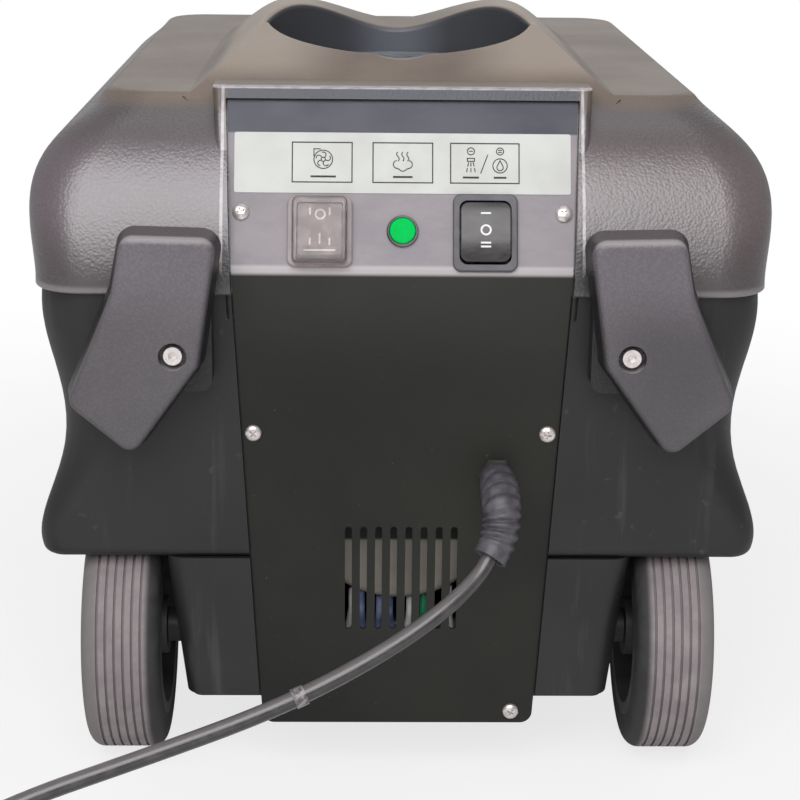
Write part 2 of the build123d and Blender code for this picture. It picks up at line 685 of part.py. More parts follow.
def tank_body():
    body = round_well(body_outside() + control_block() + hump())
    body -= disc(0, FILLER_Y, FILLER_FLOOR_Z, FILLER_WELL_R, LENGTH)
    body += disc(0, FILLER_Y, FILLER_FLOOR_Z, NECK_R, NECK_HEIGHT)
    body -= recovery_hollow()
    body -= solution_hollow()
    body -= panel_space(-LENGTH / 4, SHEET, LOOSE_FIT)
    body -= machinery_bay()
    body -= wheel_arches()
    for hollow in front_recesses():
        body -= hollow
    for hole in [s.hole for s in PANEL_SCREWS if s.z > SKIRT_Z] + castor_bolt_shanks(RUN_FIT):
        body -= hole
    for side in (-1, 1):
        body -= hook_shank(side, RUN_FIT)
    return body


def base_housing():
    """Box under the tank body that holds the pump, heater and motor, open above and below."""
    def plan(z, half, inset):
        span = HOUSING_FRONT_Y - REAR_Y - 2 * inset
        corner = HOUSING_INNER_CORNER if inset else HOUSING_CORNER
        middle = (HOUSING_FRONT_Y + REAR_Y) / 2
        return Pos(0, middle, z) * RectangleRounded(2 * (half - inset), span, corner)

    def box(inset, over):
        slope = (HOUSING_TOP_HALF - HOUSING_BOTTOM_HALF) / (SKIRT_Z - HOUSING_BOTTOM_Z)
        low = plan(HOUSING_BOTTOM_Z - over, HOUSING_BOTTOM_HALF - over * slope, inset)
        high = plan(SKIRT_Z + over, HOUSING_TOP_HALF + over * slope, inset)
        return loft([low, high])

    housing = box(0, 0) - box(HOUSING_WALL, OVERRUN)
    for x, y in tray_screw_spots():
        housing += disc(x, y, HOUSING_BOTTOM_Z, TRAY_BOSS_R, SCREW_LENGTH + HOUSING_WALL)
    housing -= panel_space(-LENGTH / 4, SHEET, LOOSE_FIT)
    gap_half = panel_half(HOUSING_BOTTOM_Z) - PANEL_FLANGE
    housing -= slab((-gap_half, gap_half), (REAR_Y - OVERRUN, PANEL_SEAT_Y + HOUSING_WALL),
                    (0, SKIRT_Z + OVERRUN))
    for x, y in tray_screw_spots():
        housing -= disc(x, y, HOUSING_BOTTOM_Z - OVERRUN, SCREW_R + RUN_FIT, SCREW_LENGTH + OVERRUN)
    bore = rod((-LENGTH, AXLE_Y, AXLE_Z), (LENGTH, AXLE_Y, AXLE_Z), BUSH_R + RUN_FIT)
    return housing - bore


def tray_screw_spots():
    x = HOUSING_BOTTOM_HALF - TRAY_SCREW_INSET
    rear = REAR_Y + TRAY_SCREW_INSET
    front = HOUSING_FRONT_Y - TRAY_SCREW_INSET
    return [(side * x, y) for side in (-1, 1) for y in (rear, front)]


def base_tray():
    """Steel bottom of the housing, with a flange at the back that holds the foot of the panel."""
    half = HOUSING_BOTTOM_HALF - TRAY_INSET
    plate = slab((-half, half), (PANEL_SEAT_Y, HOUSING_FRONT_Y - TRAY_INSET), (TRAY_Z, HOUSING_BOTTOM_Z))
    plate = fillet(plate.edges().filter_by(Axis.Z), HOUSING_CORNER / 2)
    flange = slab((-TRAY_FLANGE_HALF, TRAY_FLANGE_HALF), (PANEL_SEAT_Y, PANEL_SEAT_Y + TRAY_SHEET),
                  (PANEL_BOTTOM_Z + LOOSE_FIT, HOUSING_BOTTOM_Z))
    tray = plate + flange
    for x, y in tray_screw_spots():
        tray -= disc(x, y, TRAY_Z - OVERRUN, SCREW_R + RUN_FIT, TRAY_SHEET + 2 * OVERRUN)
    for s in PANEL_SCREWS:
        if s.z < SKIRT_Z:
            tray -= s.hole
    return tray


class Fastener:
    """A pan-head screw driven in along a plane's normal, with the hole that it needs."""

    def __init__(self, plane):
        self.z = plane.origin.Z
        head = Cylinder(SCREW_HEAD_R, SCREW_HEAD, align=BASE)
        head = fillet(head.edges().sort_by(Axis.Z)[-1], SCREW_CROWN)
        shank = Pos(0, 0, -SCREW_LENGTH) * Cylinder(SCREW_R, SCREW_LENGTH, align=BASE)
        drill = Pos(0, 0, -SCREW_LENGTH - OVERRUN)
        drill *= Cylinder(SCREW_R + RUN_FIT, SCREW_LENGTH + 2 * OVERRUN, align=BASE)
        self.solid = plane * (head + shank)
        self.hole = plane * drill


def panel_screw_planes():
    top_z = PANEL_BEND_Z + TOP_SCREW_S * math.cos(LEAN)
    planes = []
    for side in (-1, 1):
        planes.append(on_lean(side * (panel_half(top_z) - SCREW_EDGE), TOP_SCREW_S))
        planes.append(on_wall(side * (panel_half(MID_SCREW_Z) - SCREW_EDGE), MID_SCREW_Z))
    planes.append(on_wall(LOW_SCREW_X, LOW_SCREW_Z))
    return planes


PANEL_SCREWS = [Fastener(plane) for plane in panel_screw_planes()]
TRAY_SCREWS = [Fastener(Plane(origin=(x, y, TRAY_Z), z_dir=(0, 0, -1))) for x, y in tray_screw_spots()]


def slot_x(i):
    """Middle of a vent slot, counted from the left."""
    return VENT_X + VENT_PITCH * (i - (VENT_SLOTS - 1) / 2)


def rear_panel():
    panel = panel_space(0, SHEET, 0)
    feet = [e for e in panel.edges().filter_by(Axis.Y) if e.center().Z < PANEL_BOTTOM_Z + OVERRUN]
    panel = fillet(feet, PANEL_CORNER)
    for i in range(VENT_SLOTS):
        slot = extrude(SlotOverall(VENT_HEIGHT, VENT_WIDTH, rotation=90), amount=WALL, both=True)
        panel -= on_wall(slot_x(i), VENT_Z) * slot
    for x, bezel in ((-SWITCH_X, VACUUM_BEZEL), (SWITCH_X, PUMP_BEZEL)):
        panel -= on_lean(x, SWITCH_S) * Box(*switch_body(bezel, SEAT_FIT), WALL)
    panel -= on_lean(0, BUTTON_S) * Cylinder(BUTTON_BARREL_R + SEAT_FIT, WALL)
    panel -= on_wall(GLAND_X, GLAND_Z) * Cylinder(GLAND_THREAD_R + RUN_FIT, WALL)
    for s in PANEL_SCREWS:
        panel -= s.hole
    return panel


def label_plate():
    z_mid = PANEL_BEND_Z + LABEL_S * math.cos(LEAN)
    width = 2 * (panel_half(z_mid) - LABEL_MARGIN)
    plate = extrude(RectangleRounded(width, LABEL_HEIGHT, LABEL_CORNER), amount=LABEL_SHEET)
    return on_lean(0, LABEL_S + LABEL_HEIGHT / 2) * plate


def switch_body(bezel, grow=0.0):
    """Width and height of the part of a switch that passes through the panel."""
    return [size - 2 * SWITCH_WALL + 2 * grow for size in bezel]


def switch_frame(x, bezel, window, corner):
    rim = extrude(RectangleRounded(*bezel, BEZEL_CORNER), amount=BEZEL)
    rim = fillet(rim.edges().group_by(Axis.Z)[-1], BEZEL * EDGE_SHARE)
    box = Pos(0, 0, -SWITCH_DEPTH) * Box(*switch_body(bezel), SWITCH_DEPTH, align=BASE)
    pocket = extrude(RectangleRounded(*window, corner), amount=POCKET_DEPTH + 2 * BEZEL)
    pocket = Pos(0, 0, -POCKET_DEPTH) * pocket
    reach = window[0] / 2 + PIVOT_REACH
    pivot = rod((-reach, 0, -PIVOT_DEPTH), (reach, 0, -PIVOT_DEPTH), PIVOT_R + RUN_FIT)
    return on_lean(x, SWITCH_S) * (rim + box - pocket - pivot)


def rocker(x, window, corner, crown, tilt):
    """Rocker of a switch: crown is the height of its middle over its two ends."""
    half_w = window[0] / 2 - ROCKER_SIDE_GAP
    half_h = window[1] / 2 - ROCKER_END_GAP
    top = ThreePointArc((0, -half_h, ROCKER_EDGE_Z), (0, 0, ROCKER_EDGE_Z + crown), (0, half_h, ROCKER_EDGE_Z))
    sides = Polyline((0, half_h, ROCKER_EDGE_Z), (0, half_h, ROCKER_FOOT_Z), (0, -half_h, ROCKER_FOOT_Z),
                     (0, -half_h, ROCKER_EDGE_Z))
    key = extrude(make_face(top + sides), amount=half_w, dir=(1, 0, 0), both=True)
    key &= extrude(RectangleRounded(2 * half_w, 2 * half_h, corner), amount=POCKET_DEPTH, both=True)
    face = max(key.faces(), key=lambda f: f.center().Z)
    key = fillet(face.edges(), ROCKER_ROUND)
    key += rod((-half_w, 0, -PIVOT_DEPTH), (half_w, 0, -PIVOT_DEPTH), ROCKER_CORE_R)
    reach = window[0] / 2 + PIVOT_REACH - SEAT_FIT
    key += rod((-reach, 0, -PIVOT_DEPTH), (reach, 0, -PIVOT_DEPTH), PIVOT_R)
    pivot = Pos(0, 0, -PIVOT_DEPTH)
    turned = pivot * Rot(X=tilt) * Pos(0, 0, PIVOT_DEPTH) * key
    return on_lean(x, SWITCH_S) * turned


def vacuum_switch_cover():
    """Clear splash cover over the vacuum switch."""
    width = VACUUM_WINDOW[0] + 2 * (COVER_MARGIN + COVER_SHEET)
    height = VACUUM_WINDOW[1] + 2 * (COVER_MARGIN + COVER_SHEET)
    shell = extrude(RectangleRounded(width, height, COVER_CORNER), amount=COVER_HEIGHT)
    shell = fillet(shell.edges().group_by(Axis.Z)[-1], COVER_ROUND)
    inside = (width - 2 * COVER_SHEET, height - 2 * COVER_SHEET, COVER_CORNER - COVER_SHEET)
    room = extrude(RectangleRounded(*inside), amount=COVER_HEIGHT - COVER_SHEET)
    return on_lean(-SWITCH_X, SWITCH_S) * Pos(0, 0, BEZEL) * (shell - room)


def steam_button_ring():
    ring = Cylinder(BUTTON_RING_R, BUTTON_RING, align=BASE)
    ring = fillet(ring.edges().group_by(Axis.Z)[-1], BUTTON_RING * EDGE_SHARE)
    ring += Pos(0, 0, -BUTTON_BARREL) * Cylinder(BUTTON_BARREL_R, BUTTON_BARREL, align=BASE)
    ring -= Pos(0, 0, -BUTTON_WELL) * Cylinder(BUTTON_R + SEAT_FIT, BUTTON_WELL + BUTTON_RING, align=BASE)
    ring -= Pos(0, 0, -BUTTON_BARREL) * Cylinder(BUTTON_STEM_R + RUN_FIT, BUTTON_BARREL, align=BASE)
    return on_lean(0, BUTTON_S) * ring


def steam_button():
    cap = Pos(0, 0, BUTTON_PROUD - BUTTON_CAP) * Cylinder(BUTTON_R, BUTTON_CAP, align=BASE)
    cap = fillet(cap.edges().group_by(Axis.Z)[-1], BUTTON_PROUD * EDGE_SHARE)
    foot = BUTTON_PROUD - BUTTON_CAP - BUTTON_STEM
    return on_lean(0, BUTTON_S) * (cap + Pos(0, 0, foot) * Cylinder(BUTTON_STEM_R, BUTTON_STEM, align=BASE))


# Outline of the right cord hook's face, from the bolt: up the inside, then down to the outer tip
HOOK_OUTLINE = [(22.0, 55.0), (-20.0, 54.0), (-11.0, -5.0), (20.0, -48.0), (49.0, -23.0), (27.0, 29.0)]


def hook_plane(y):
    """Upright plane at a depth, seen from behind: x right, y up, z towards the rear."""
    return Plane(origin=(0, y, 0), x_dir=(1, 0, 0), z_dir=(0, -1, 0))


def hook_shank(side, grow):
    x = side * HOOK_X
    return rod((x, REAR_Y + HOOK_BOLT_GRIP, HOOK_BOLT_Z), (x, REAR_Y - HOOK_REACH + HOOK_SINK, HOOK_BOLT_Z),
               HOOK_BOLT_R + grow)


def cord_hook(side):
    """Moulded hook: a cranked plate with drafted sides, stood off the wall on a foot."""
    points = [(side * (HOOK_X + x), HOOK_BOLT_Z + z) for x, z in HOOK_OUTLINE]
    outline = FilletPolyline(*points, radius=HOOK_ROUND * 2, close=True)
    base = offset(make_face(outline), amount=HOOK_PLATE * math.tan(math.radians(HOOK_DRAFT)))
    plate = extrude(hook_plane(REAR_Y - HOOK_REACH + HOOK_PLATE) * base, amount=HOOK_PLATE, taper=HOOK_DRAFT)
    plate = fillet(plate.faces().sort_by(Axis.Y)[0].edges(), HOOK_ROUND)
    foot = RectangleRounded(HOOK_FOOT_WIDTH, HOOK_FOOT_HEIGHT, HOOK_ROUND * 2)
    foot = hook_plane(REAR_Y) * Pos(side * HOOK_X, HOOK_BOLT_Z) * foot
    hook = plate + extrude(foot, amount=HOOK_REACH - HOOK_PLATE + OVERRUN)
    x = side * HOOK_X
    face_y = REAR_Y - HOOK_REACH
    hook -= rod((x, face_y + HOOK_SINK, HOOK_BOLT_Z), (x, face_y - OVERRUN, HOOK_BOLT_Z), HOOK_SINK_R)
    return hook - hook_shank(side, RUN_FIT)


def hook_bolt(side):
    x = side * HOOK_X
    seat = REAR_Y - HOOK_REACH + HOOK_SINK
    head = rod((x, seat, HOOK_BOLT_Z), (x, seat - HOOK_HEAD, HOOK_BOLT_Z), HOOK_HEAD_R)
    socket = Plane(origin=(x, seat - HOOK_HEAD, HOOK_BOLT_Z), z_dir=(0, 1, 0))
    hexagon = extrude(socket * RegularPolygon(HOOK_SOCKET_R, 6), amount=HOOK_HEAD / 2)
    return head - hexagon + hook_shank(side, 0)


def tyre(side):
    """Ribbed tyre: a flat tread with grooves round it."""
    half = WHEEL_WIDTH / 2
    ring = revolve_about_axle(side, [(RIM_R + RUN_FIT, -half), (WHEEL_R, -half), (WHEEL_R, half),
                                     (RIM_R + RUN_FIT, half)])
    outer = [e for e in ring.edges().filter_by(GeomType.CIRCLE) if e.radius > WHEEL_R - TOUCH]
    ring = fillet(outer, TREAD_ROUND)
    for i in range(TREAD_GROOVES):
        at = GROOVE_PITCH * (i - (TREAD_GROOVES - 1) / 2)
        low, high = at - GROOVE_WIDTH / 2, at + GROOVE_WIDTH / 2
        ring -= revolve_about_axle(side, [(WHEEL_R - GROOVE_DEPTH, low), (WHEEL_R + OVERRUN, low),
                                          (WHEEL_R + OVERRUN, high), (WHEEL_R - GROOVE_DEPTH, high)])
    return ring


def revolve_about_axle(side, points):
    """Turns an outline of (radius, offset outwards along the axle) about one rear wheel's axis."""
    middle = side * (WHEEL_INNER_X + WHEEL_WIDTH / 2)
    outline = Polyline(*[(middle + side * x, AXLE_Y, AXLE_Z + r) for r, x in points], close=True)
    return revolve(make_face(outline), axis=Axis((0, AXLE_Y, AXLE_Z), (1, 0, 0)))


def wheel_hub(side):
    """Moulded rim: barrel, pierced web and hub on the axle."""
    half = WHEEL_WIDTH / 2
    end = half - HUB_RECESS
    hub = revolve_about_axle(side, [(AXLE_R + RUN_FIT, -half), (HUB_R, -half), (HUB_R, -WEB / 2),
                                    (RIM_R - RIM_WALL, -WEB / 2), (RIM_R - RIM_WALL, -half), (RIM_R, -half),
                                    (RIM_R, half), (RIM_R - RIM_WALL, half), (RIM_R - RIM_WALL, WEB / 2),
                                    (HUB_R, WEB / 2), (HUB_R, end), (AXLE_R + RUN_FIT, end)])
    middle = side * (WHEEL_INNER_X + half)
    reach = (HUB_R + RIM_R - RIM_WALL) / 2
    for i in range(WEB_HOLES):
        turn = 2 * math.pi * i / WEB_HOLES
        y = AXLE_Y + reach * math.sin(turn)
        z = AXLE_Z + reach * math.cos(turn)
        hub -= rod((middle - WEB, y, z), (middle + WEB, y, z), WEB_HOLE_R)
    return hub


def wheel_axle():
    end = HUB_END_X + SEAT_FIT + CAP_LENGTH - CAP_WALL
    return rod((-end, AXLE_Y, AXLE_Z), (end, AXLE_Y, AXLE_Z), AXLE_R)


def axle_bush(side):
    """Sleeve in the housing wall that carries the axle and spaces the wheel."""
    outer = WHEEL_INNER_X - SEAT_FIT
    bush = rod((side * (outer - BUSH_LENGTH), AXLE_Y, AXLE_Z), (side * outer, AXLE_Y, AXLE_Z), BUSH_R)
    return bush - rod((-LENGTH, AXLE_Y, AXLE_Z), (LENGTH, AXLE_Y, AXLE_Z), AXLE_R + RUN_FIT)


def axle_cap(side):
    start = side * (HUB_END_X + SEAT_FIT)
    end = start + side * CAP_LENGTH
    cap = rod((start, AXLE_Y, AXLE_Z), (end, AXLE_Y, AXLE_Z), CAP_R)
    rim = [e for e in cap.edges() if abs(e.center().X - end) < TOUCH]
    cap = fillet(rim, CAP_WALL)
    floor = end - side * CAP_WALL
    return cap - rod((start, AXLE_Y, AXLE_Z), (floor, AXLE_Y, AXLE_Z), AXLE_R + RUN_FIT)


def castor_bolt_spots(side):
    reach = CASTOR_BOLT_PITCH / 2
    return [(side * CASTOR_X + dx, CASTOR_Y + dy) for dx in (-reach, reach) for dy in (-reach, reach)]


def castor_bolt_shanks(grow):
    return [disc(x, y, CASTOR_PLATE_Z - OVERRUN, SCREW_R + grow, SCREW_LENGTH + OVERRUN)
            for side in (-1, 1) for x, y in castor_bolt_spots(side)]


def castor_bolts():
    bolts = []
    for side in (-1, 1):
        for x, y in castor_bolt_spots(side):
            bolts.append(Fastener(Plane(origin=(x, y, CASTOR_PLATE_Z), z_dir=(0, 0, -1))).solid)
    return Compound(children=bolts)


def castor_plate(side):
    """Top plate of a castor with its king pin."""
    x = side * CASTOR_X
    outline = RectangleRounded(CASTOR_PLATE_SIZE, CASTOR_PLATE_SIZE, HOUSING_CORNER / 2)
    plate = extrude(outline, amount=CASTOR_PLATE)
    plate = Pos(x, CASTOR_Y, CASTOR_PLATE_Z) * plate
    low = CASTOR_PLATE_Z - KINGPIN_LENGTH
    plate += disc(x, CASTOR_Y, low, KINGPIN_R, KINGPIN_LENGTH)
    plate += disc(x, CASTOR_Y, low, KINGPIN_HEAD_R, KINGPIN_LENGTH - FORK_HEAD - 2 * SEAT_FIT)
    for shank in castor_bolt_shanks(RUN_FIT):
        plate -= shank
    return plate


def castor_plates():
    return Compound(children=[castor_plate(side) for side in (-1, 1)])


def castor_fork(side):
    """Swivel head with two legs that trail down to the wheel's axle."""
    x = side * CASTOR_X
    head_z = CASTOR_PLATE_Z - SEAT_FIT - FORK_HEAD
    leg_x = CASTOR_WIDTH / 2 + FORK_GAP
    eye = (CASTOR_Y - CASTOR_TRAIL, CASTOR_R)
    fork = disc(x, CASTOR_Y, head_z, FORK_HEAD_R, FORK_HEAD)
    half = FORK_LEG_WIDTH / 2
    for flank in (-1, 1):
        near, far = x + flank * leg_x, x + flank * (leg_x + FORK_LEG)
        span = sorted((near, far))
        leg = make_face(Polyline((span[0], CASTOR_Y - half, head_z), (span[0], CASTOR_Y + half, head_z),
                                 (span[0], eye[0] + FORK_EYE_R, eye[1]), (span[0], eye[0] - FORK_EYE_R, eye[1]),
                                 close=True))
        fork += extrude(leg, amount=FORK_LEG, dir=(1, 0, 0))
        fork += rod((span[0], *eye), (span[1], *eye), FORK_EYE_R)
    reach = leg_x + FORK_LEG + OVERRUN
    fork -= rod((x - reach, *eye), (x + reach, *eye), CASTOR_AXLE_R + RUN_FIT)
    return fork - disc(x, CASTOR_Y, head_z - OVERRUN, KINGPIN_R + RUN_FIT, FORK_HEAD + 2 * OVERRUN)


def castor_axle(side):
    """Bolt through the fork, with a head and a nut outside the legs."""
    x = side * CASTOR_X
    eye = (CASTOR_Y - CASTOR_TRAIL, CASTOR_R)
    reach = CASTOR_WIDTH / 2 + FORK_GAP + FORK_LEG
    axle = rod((x - reach - CASTOR_NUT, *eye), (x + reach + CASTOR_NUT, *eye), CASTOR_AXLE_R)
    for flank in (-1, 1):
        plane = Plane(origin=(x + flank * reach, *eye), z_dir=(flank, 0, 0))
        axle += extrude(plane * RegularPolygon(CASTOR_NUT_R, 6), amount=CASTOR_NUT)
    return axle


def castor_wheel(side):
    x = side * CASTOR_X
    eye = (CASTOR_Y - CASTOR_TRAIL, CASTOR_R)
    half = CASTOR_WIDTH / 2
    wheel = rod((x - half, *eye), (x + half, *eye), CASTOR_R)
    wheel = fillet(wheel.edges().filter_by(GeomType.CIRCLE), CASTOR_ROUND)
    boss = half + FORK_GAP - SEAT_FIT
    wheel += rod((x - boss, *eye), (x + boss, *eye), CASTOR_AXLE_R * 2)
    return wheel - rod((x - half - FORK_GAP, *eye), (x + half + FORK_GAP, *eye), CASTOR_AXLE_R + RUN_FIT)


def cord_gland():
    """Hexagonal gland outside the panel, with its thread through the sheet."""
    hexagon = extrude(RegularPolygon(GLAND_FLATS / 2, 6, major_radius=False), amount=GLAND_HEX)
    hexagon = fillet(hexagon.edges().group_by(Axis.Z)[-1], GLAND_ROUND)
    thread = Pos(0, 0, -GLAND_THREAD) * Cylinder(GLAND_THREAD_R, GLAND_THREAD, align=BASE)
    return on_wall(GLAND_X, GLAND_Z) * (hexagon + thread)


def gland_lock_nut():
    nut = extrude(RegularPolygon(GLAND_FLATS / 2, 6, major_radius=False), amount=-GLAND_NUT)
    nut -= Cylinder(GLAND_THREAD_R + RUN_FIT, 4 * GLAND_NUT)
    return on_wall(GLAND_X, GLAND_Z) * Pos(0, 0, -SHEET) * nut


SLEEVE_START = (GLAND_X, PANEL_Y - GLAND_HEX, GLAND_Z)
SLEEVE_TURN = (GLAND_X, PANEL_Y - GLAND_HEX - SLEEVE_STRAIGHT, GLAND_Z)
SLEEVE_KNEE = (GLAND_X, PANEL_Y - GLAND_HEX - SLEEVE_KNEE_OUT, GLAND_Z - SLEEVE_KNEE_DROP)
SLEEVE_END = (GLAND_X - SLEEVE_END_SIDE, PANEL_Y - GLAND_HEX - SLEEVE_END_OUT, GLAND_Z - SLEEVE_END_DROP)

# Route of the cord after the sleeve, as x, distance behind the panel and height
CORD_SPOTS = [
    (23.2, 63.0, 118.8),
    (2.4, 73.0, 106.1),
    (-28.1, 84.0, 91.4),
    (-64.5, 93.0, 76.5),
    (-119.0, 102.0, 59.0),
    (-172.0, 113.0, 44.0),
    (-216.0, 130.0, 27.0),
    (-250.0, 157.0, 12.0),
]
CORD_ROUTE = [SLEEVE_END, tuple(mix(a, b, CORD_LEAD) for a, b in zip(SLEEVE_KNEE, SLEEVE_END))]
CORD_ROUTE += [(x, PANEL_Y - out, z) for x, out, z in CORD_SPOTS]
COIL_AT = (-298.0, PANEL_Y - 115.0)
TAIL_TURN = 150.0         # degrees round the coil, where the plug's end leaves it
TIE_TURN = -100.0


def cord_path(points):
    """Straight runs joined by arcs as large as the runs allow."""
    spots = [Vector(*p) for p in points]
    radii = []
    for a, b, c in zip(spots, spots[1:], spots[2:]):
        turn = math.radians((b - a).get_angle(c - b))
        run = min((b - a).length, (c - b).length)
        radii.append(ARC_SHARE * run / math.tan(turn / 2))
    return FilletPolyline(*points, radius=radii), radii


def swept(path, radius):
    """A round section carried along a path."""
    start = Plane(origin=path @ 0, z_dir=path % 0)
    return sweep(start * Circle(radius), path=path)


def bend_sleeve():
    """Ribbed strain relief that turns the cord down and to the left of the gland."""
    path = FilletPolyline(SLEEVE_START, SLEEVE_TURN, SLEEVE_KNEE, SLEEVE_END, radius=SLEEVE_ROUND)
    sleeve = swept(path, SLEEVE_R)
    for i in range(SLEEVE_RIBS):
        share = (i + SLEEVE_FIRST_RIB) / SLEEVE_RIBS
        place = Plane(origin=path @ share, z_dir=path % share)
        sleeve += place * Cylinder(SLEEVE_RIB_R, SLEEVE_RIB)
    return sleeve


def tail_points():
    """Straight end of the cord, from the coil to the plug."""
    turn = math.radians(TAIL_TURN)
    reach = COIL_MID_R + COIL_WIDE / 2 - CORD_R
    z = COIL_LIFT + COIL_TALL / 2
    start = Vector(COIL_AT[0] + reach * math.cos(turn), COIL_AT[1] + reach * math.sin(turn), z)
    along = Vector(math.sin(turn), -math.cos(turn), 0)
    return start, start + along * TAIL_LENGTH, along


def power_cord():
    path, radii = cord_path(CORD_ROUTE)
    cord = swept(path, CORD_R)
    print("cord radii", [round(r) for r in radii])
    print("cord volume over section times length", cord.volume / (math.pi * CORD_R**2 * path.length))
    print("cord length laid out", round(path.length), "to coil", round(CORD_LENGTH - path.length - TAIL_LENGTH))
    start, end, _ = tail_points()
    return Compound(children=[cord, rod(start, end, CORD_R)])


def cord_tape_ring():
    """Turn of tape on the straight of the fifth run."""
    a, b = [Vector(*p) for p in CORD_ROUTE[4:6]]
    middle = (a + b) / 2
    along = (b - a).normalized() * (TAPE_LENGTH / 2)
    ends = (middle - along, middle + along)
    return rod(*ends, CORD_R + RUN_FIT + TAPE_SHEET) - rod(*ends, CORD_R + RUN_FIT)


def cord_coil():
    """Outer shape of the put-away length: a flat ring of turns."""
    outline = RectangleRounded(COIL_WIDE, COIL_TALL, COIL_ROUND)
    outline = Plane.XZ * Pos(COIL_MID_R, COIL_LIFT + COIL_TALL / 2) * outline
    return Pos(*COIL_AT) * revolve(outline, axis=Axis.Z)


def coil_tie():
    """Strap round the bundle of turns."""
    sagitta = (TIE_WIDTH / 2) ** 2 / (2 * (COIL_MID_R - COIL_WIDE / 2))
    slack = 2 * (SEAT_FIT + sagitta)
    inner = (COIL_WIDE + slack, COIL_TALL + slack)
    outer = [size + 2 * TIE_SHEET for size in inner]
    place = Pos(*COIL_AT) * Rot(Z=TIE_TURN) * Pos(COIL_MID_R, 0, COIL_LIFT + COIL_TALL / 2)
    strap = RectangleRounded(*outer, COIL_ROUND) - RectangleRounded(*inner, COIL_ROUND)
    return place * extrude(Plane.XZ * strap, amount=TIE_WIDTH / 2, both=True)


def plug_plane():
    _, end, along = tail_points()
    return Plane(origin=end, z_dir=along)


def plug_body():
    """Round plug with a neck for the cord; it lies on its side on the floor."""
    neck = Cylinder(PLUG_NECK_R, PLUG_NECK, align=BASE)
    head = Pos(0, 0, PLUG_NECK) * Cylinder(PLUG_R, PLUG_LENGTH, align=BASE)
    head = fillet(head.edges().group_by(Axis.Z)[0], PLUG_R / 3)
    return plug_plane() * (neck + head)


def plug_pins():
    pins = []
    for side in (-1, 1):
        pin = Cylinder(PIN_R, PIN_LENGTH, align=BASE)
        pin = fillet(pin.edges().group_by(Axis.Z)[-1], PIN_ROUND)
        pins.append(plug_plane() * Pos(0, side * PIN_PITCH / 2, PLUG_NECK + PLUG_LENGTH) * pin)
    return Compound(children=pins)


def motor_end_cap():
    """Flat round end of the vacuum motor, seen through the vent."""
    cap = rod((0, MOTOR_REAR_Y, MOTOR_Z), (0, MOTOR_REAR_Y + MOTOR_END, MOTOR_Z), MOTOR_END_R)
    return fillet(cap.edges().sort_by(Axis.Y)[0], MOTOR_END / 4)


def motor_body():
    start = MOTOR_REAR_Y + MOTOR_END
    return rod((0, start, MOTOR_Z), (0, start + MOTOR_LENGTH, MOTOR_Z), MOTOR_R)


def fan_housing():
    fan = rod((0, FAN_REAR_Y, MOTOR_Z), (0, FAN_REAR_Y + FAN_LENGTH, MOTOR_Z), FAN_R)
    rims = [e for e in fan.edges().filter_by(GeomType.CIRCLE)]
    return fillet(rims, FAN_LENGTH / 8)


def motor_cradle():
    """Stand on the tray that carries the motor."""
    middle = FAN_REAR_Y - CRADLE / 2 - WALL / 2
    stand = slab((-CRADLE_WIDTH / 2, CRADLE_WIDTH / 2), (middle - CRADLE / 2, middle + CRADLE / 2),
                 (HOUSING_BOTTOM_Z, MOTOR_Z - MOTOR_R / 3))
    stand -= rod((0, middle - CRADLE, MOTOR_Z), (0, middle + CRADLE, MOTOR_Z), MOTOR_R + SEAT_FIT)
    window = CRADLE_WIDTH / 2 - WALL
    tunnel = (HOUSING_BOTTOM_Z - OVERRUN, MOTOR_Z - MOTOR_R - WALL)
    return stand - slab((-window, window), (middle - CRADLE, middle + CRADLE), tunnel)


def pump_unit():
    """Diaphragm pump with its small motor, on the tray."""
    x, y, z = PUMP_SIZE
    pump = Pos(PUMP_X, PUMP_Y, HOUSING_BOTTOM_Z) * Box(x, y, z, align=BASE)
    pump = fillet(pump.edges().filter_by(Axis.Z), HEATER_ROUND)
    axis_z = HOUSING_BOTTOM_Z + PUMP_MOTOR_R + SEAT_FIT
    start = PUMP_Y - y / 2 + OVERRUN
    return pump + rod((PUMP_X, start, axis_z), (PUMP_X, start - PUMP_MOTOR, axis_z), PUMP_MOTOR_R)


def heater_block():
    block = Pos(HEATER_X, HEATER_Y, HOUSING_BOTTOM_Z) * Box(*HEATER_SIZE, align=BASE)
    return fillet(block.edges().filter_by(Axis.Z), HEATER_ROUND)


def terminal_block():
    """Row of wire clamps on the tray, just inside the vent."""
    block = Pos(VENT_X, TERMINAL_Y, HOUSING_BOTTOM_Z) * Box(*TERMINAL_SIZE, align=BASE)
    socket_z = HOUSING_BOTTOM_Z + TERMINAL_SIZE[2] - WIRE_R
    for i in range(VENT_SLOTS):
        block -= disc(slot_x(i), TERMINAL_Y, socket_z, WIRE_R + SEAT_FIT, 2 * WIRE_R)
    return block


def wire(slot, lean):
    """Lead from the terminal block up to the motor's end, leaning to one side."""
    x = slot_x(slot)
    low = HOUSING_BOTTOM_Z + TERMINAL_SIZE[2] - WIRE_R
    far_x = x + lean
    reach = MOTOR_END_R + WIRE_R + SEAT_FIT
    top = MOTOR_Z - math.sqrt(reach**2 - far_x**2)
    path = FilletPolyline((x, TERMINAL_Y, low), (x, TERMINAL_Y, mix(low, top, WIRE_BEND)),
                          (far_x, TERMINAL_Y - WIRE_R, mix(top, low, WIRE_BEND)), (far_x, TERMINAL_Y, top),
                          radius=2 * WIRE_R)
    return swept(path, WIRE_R)


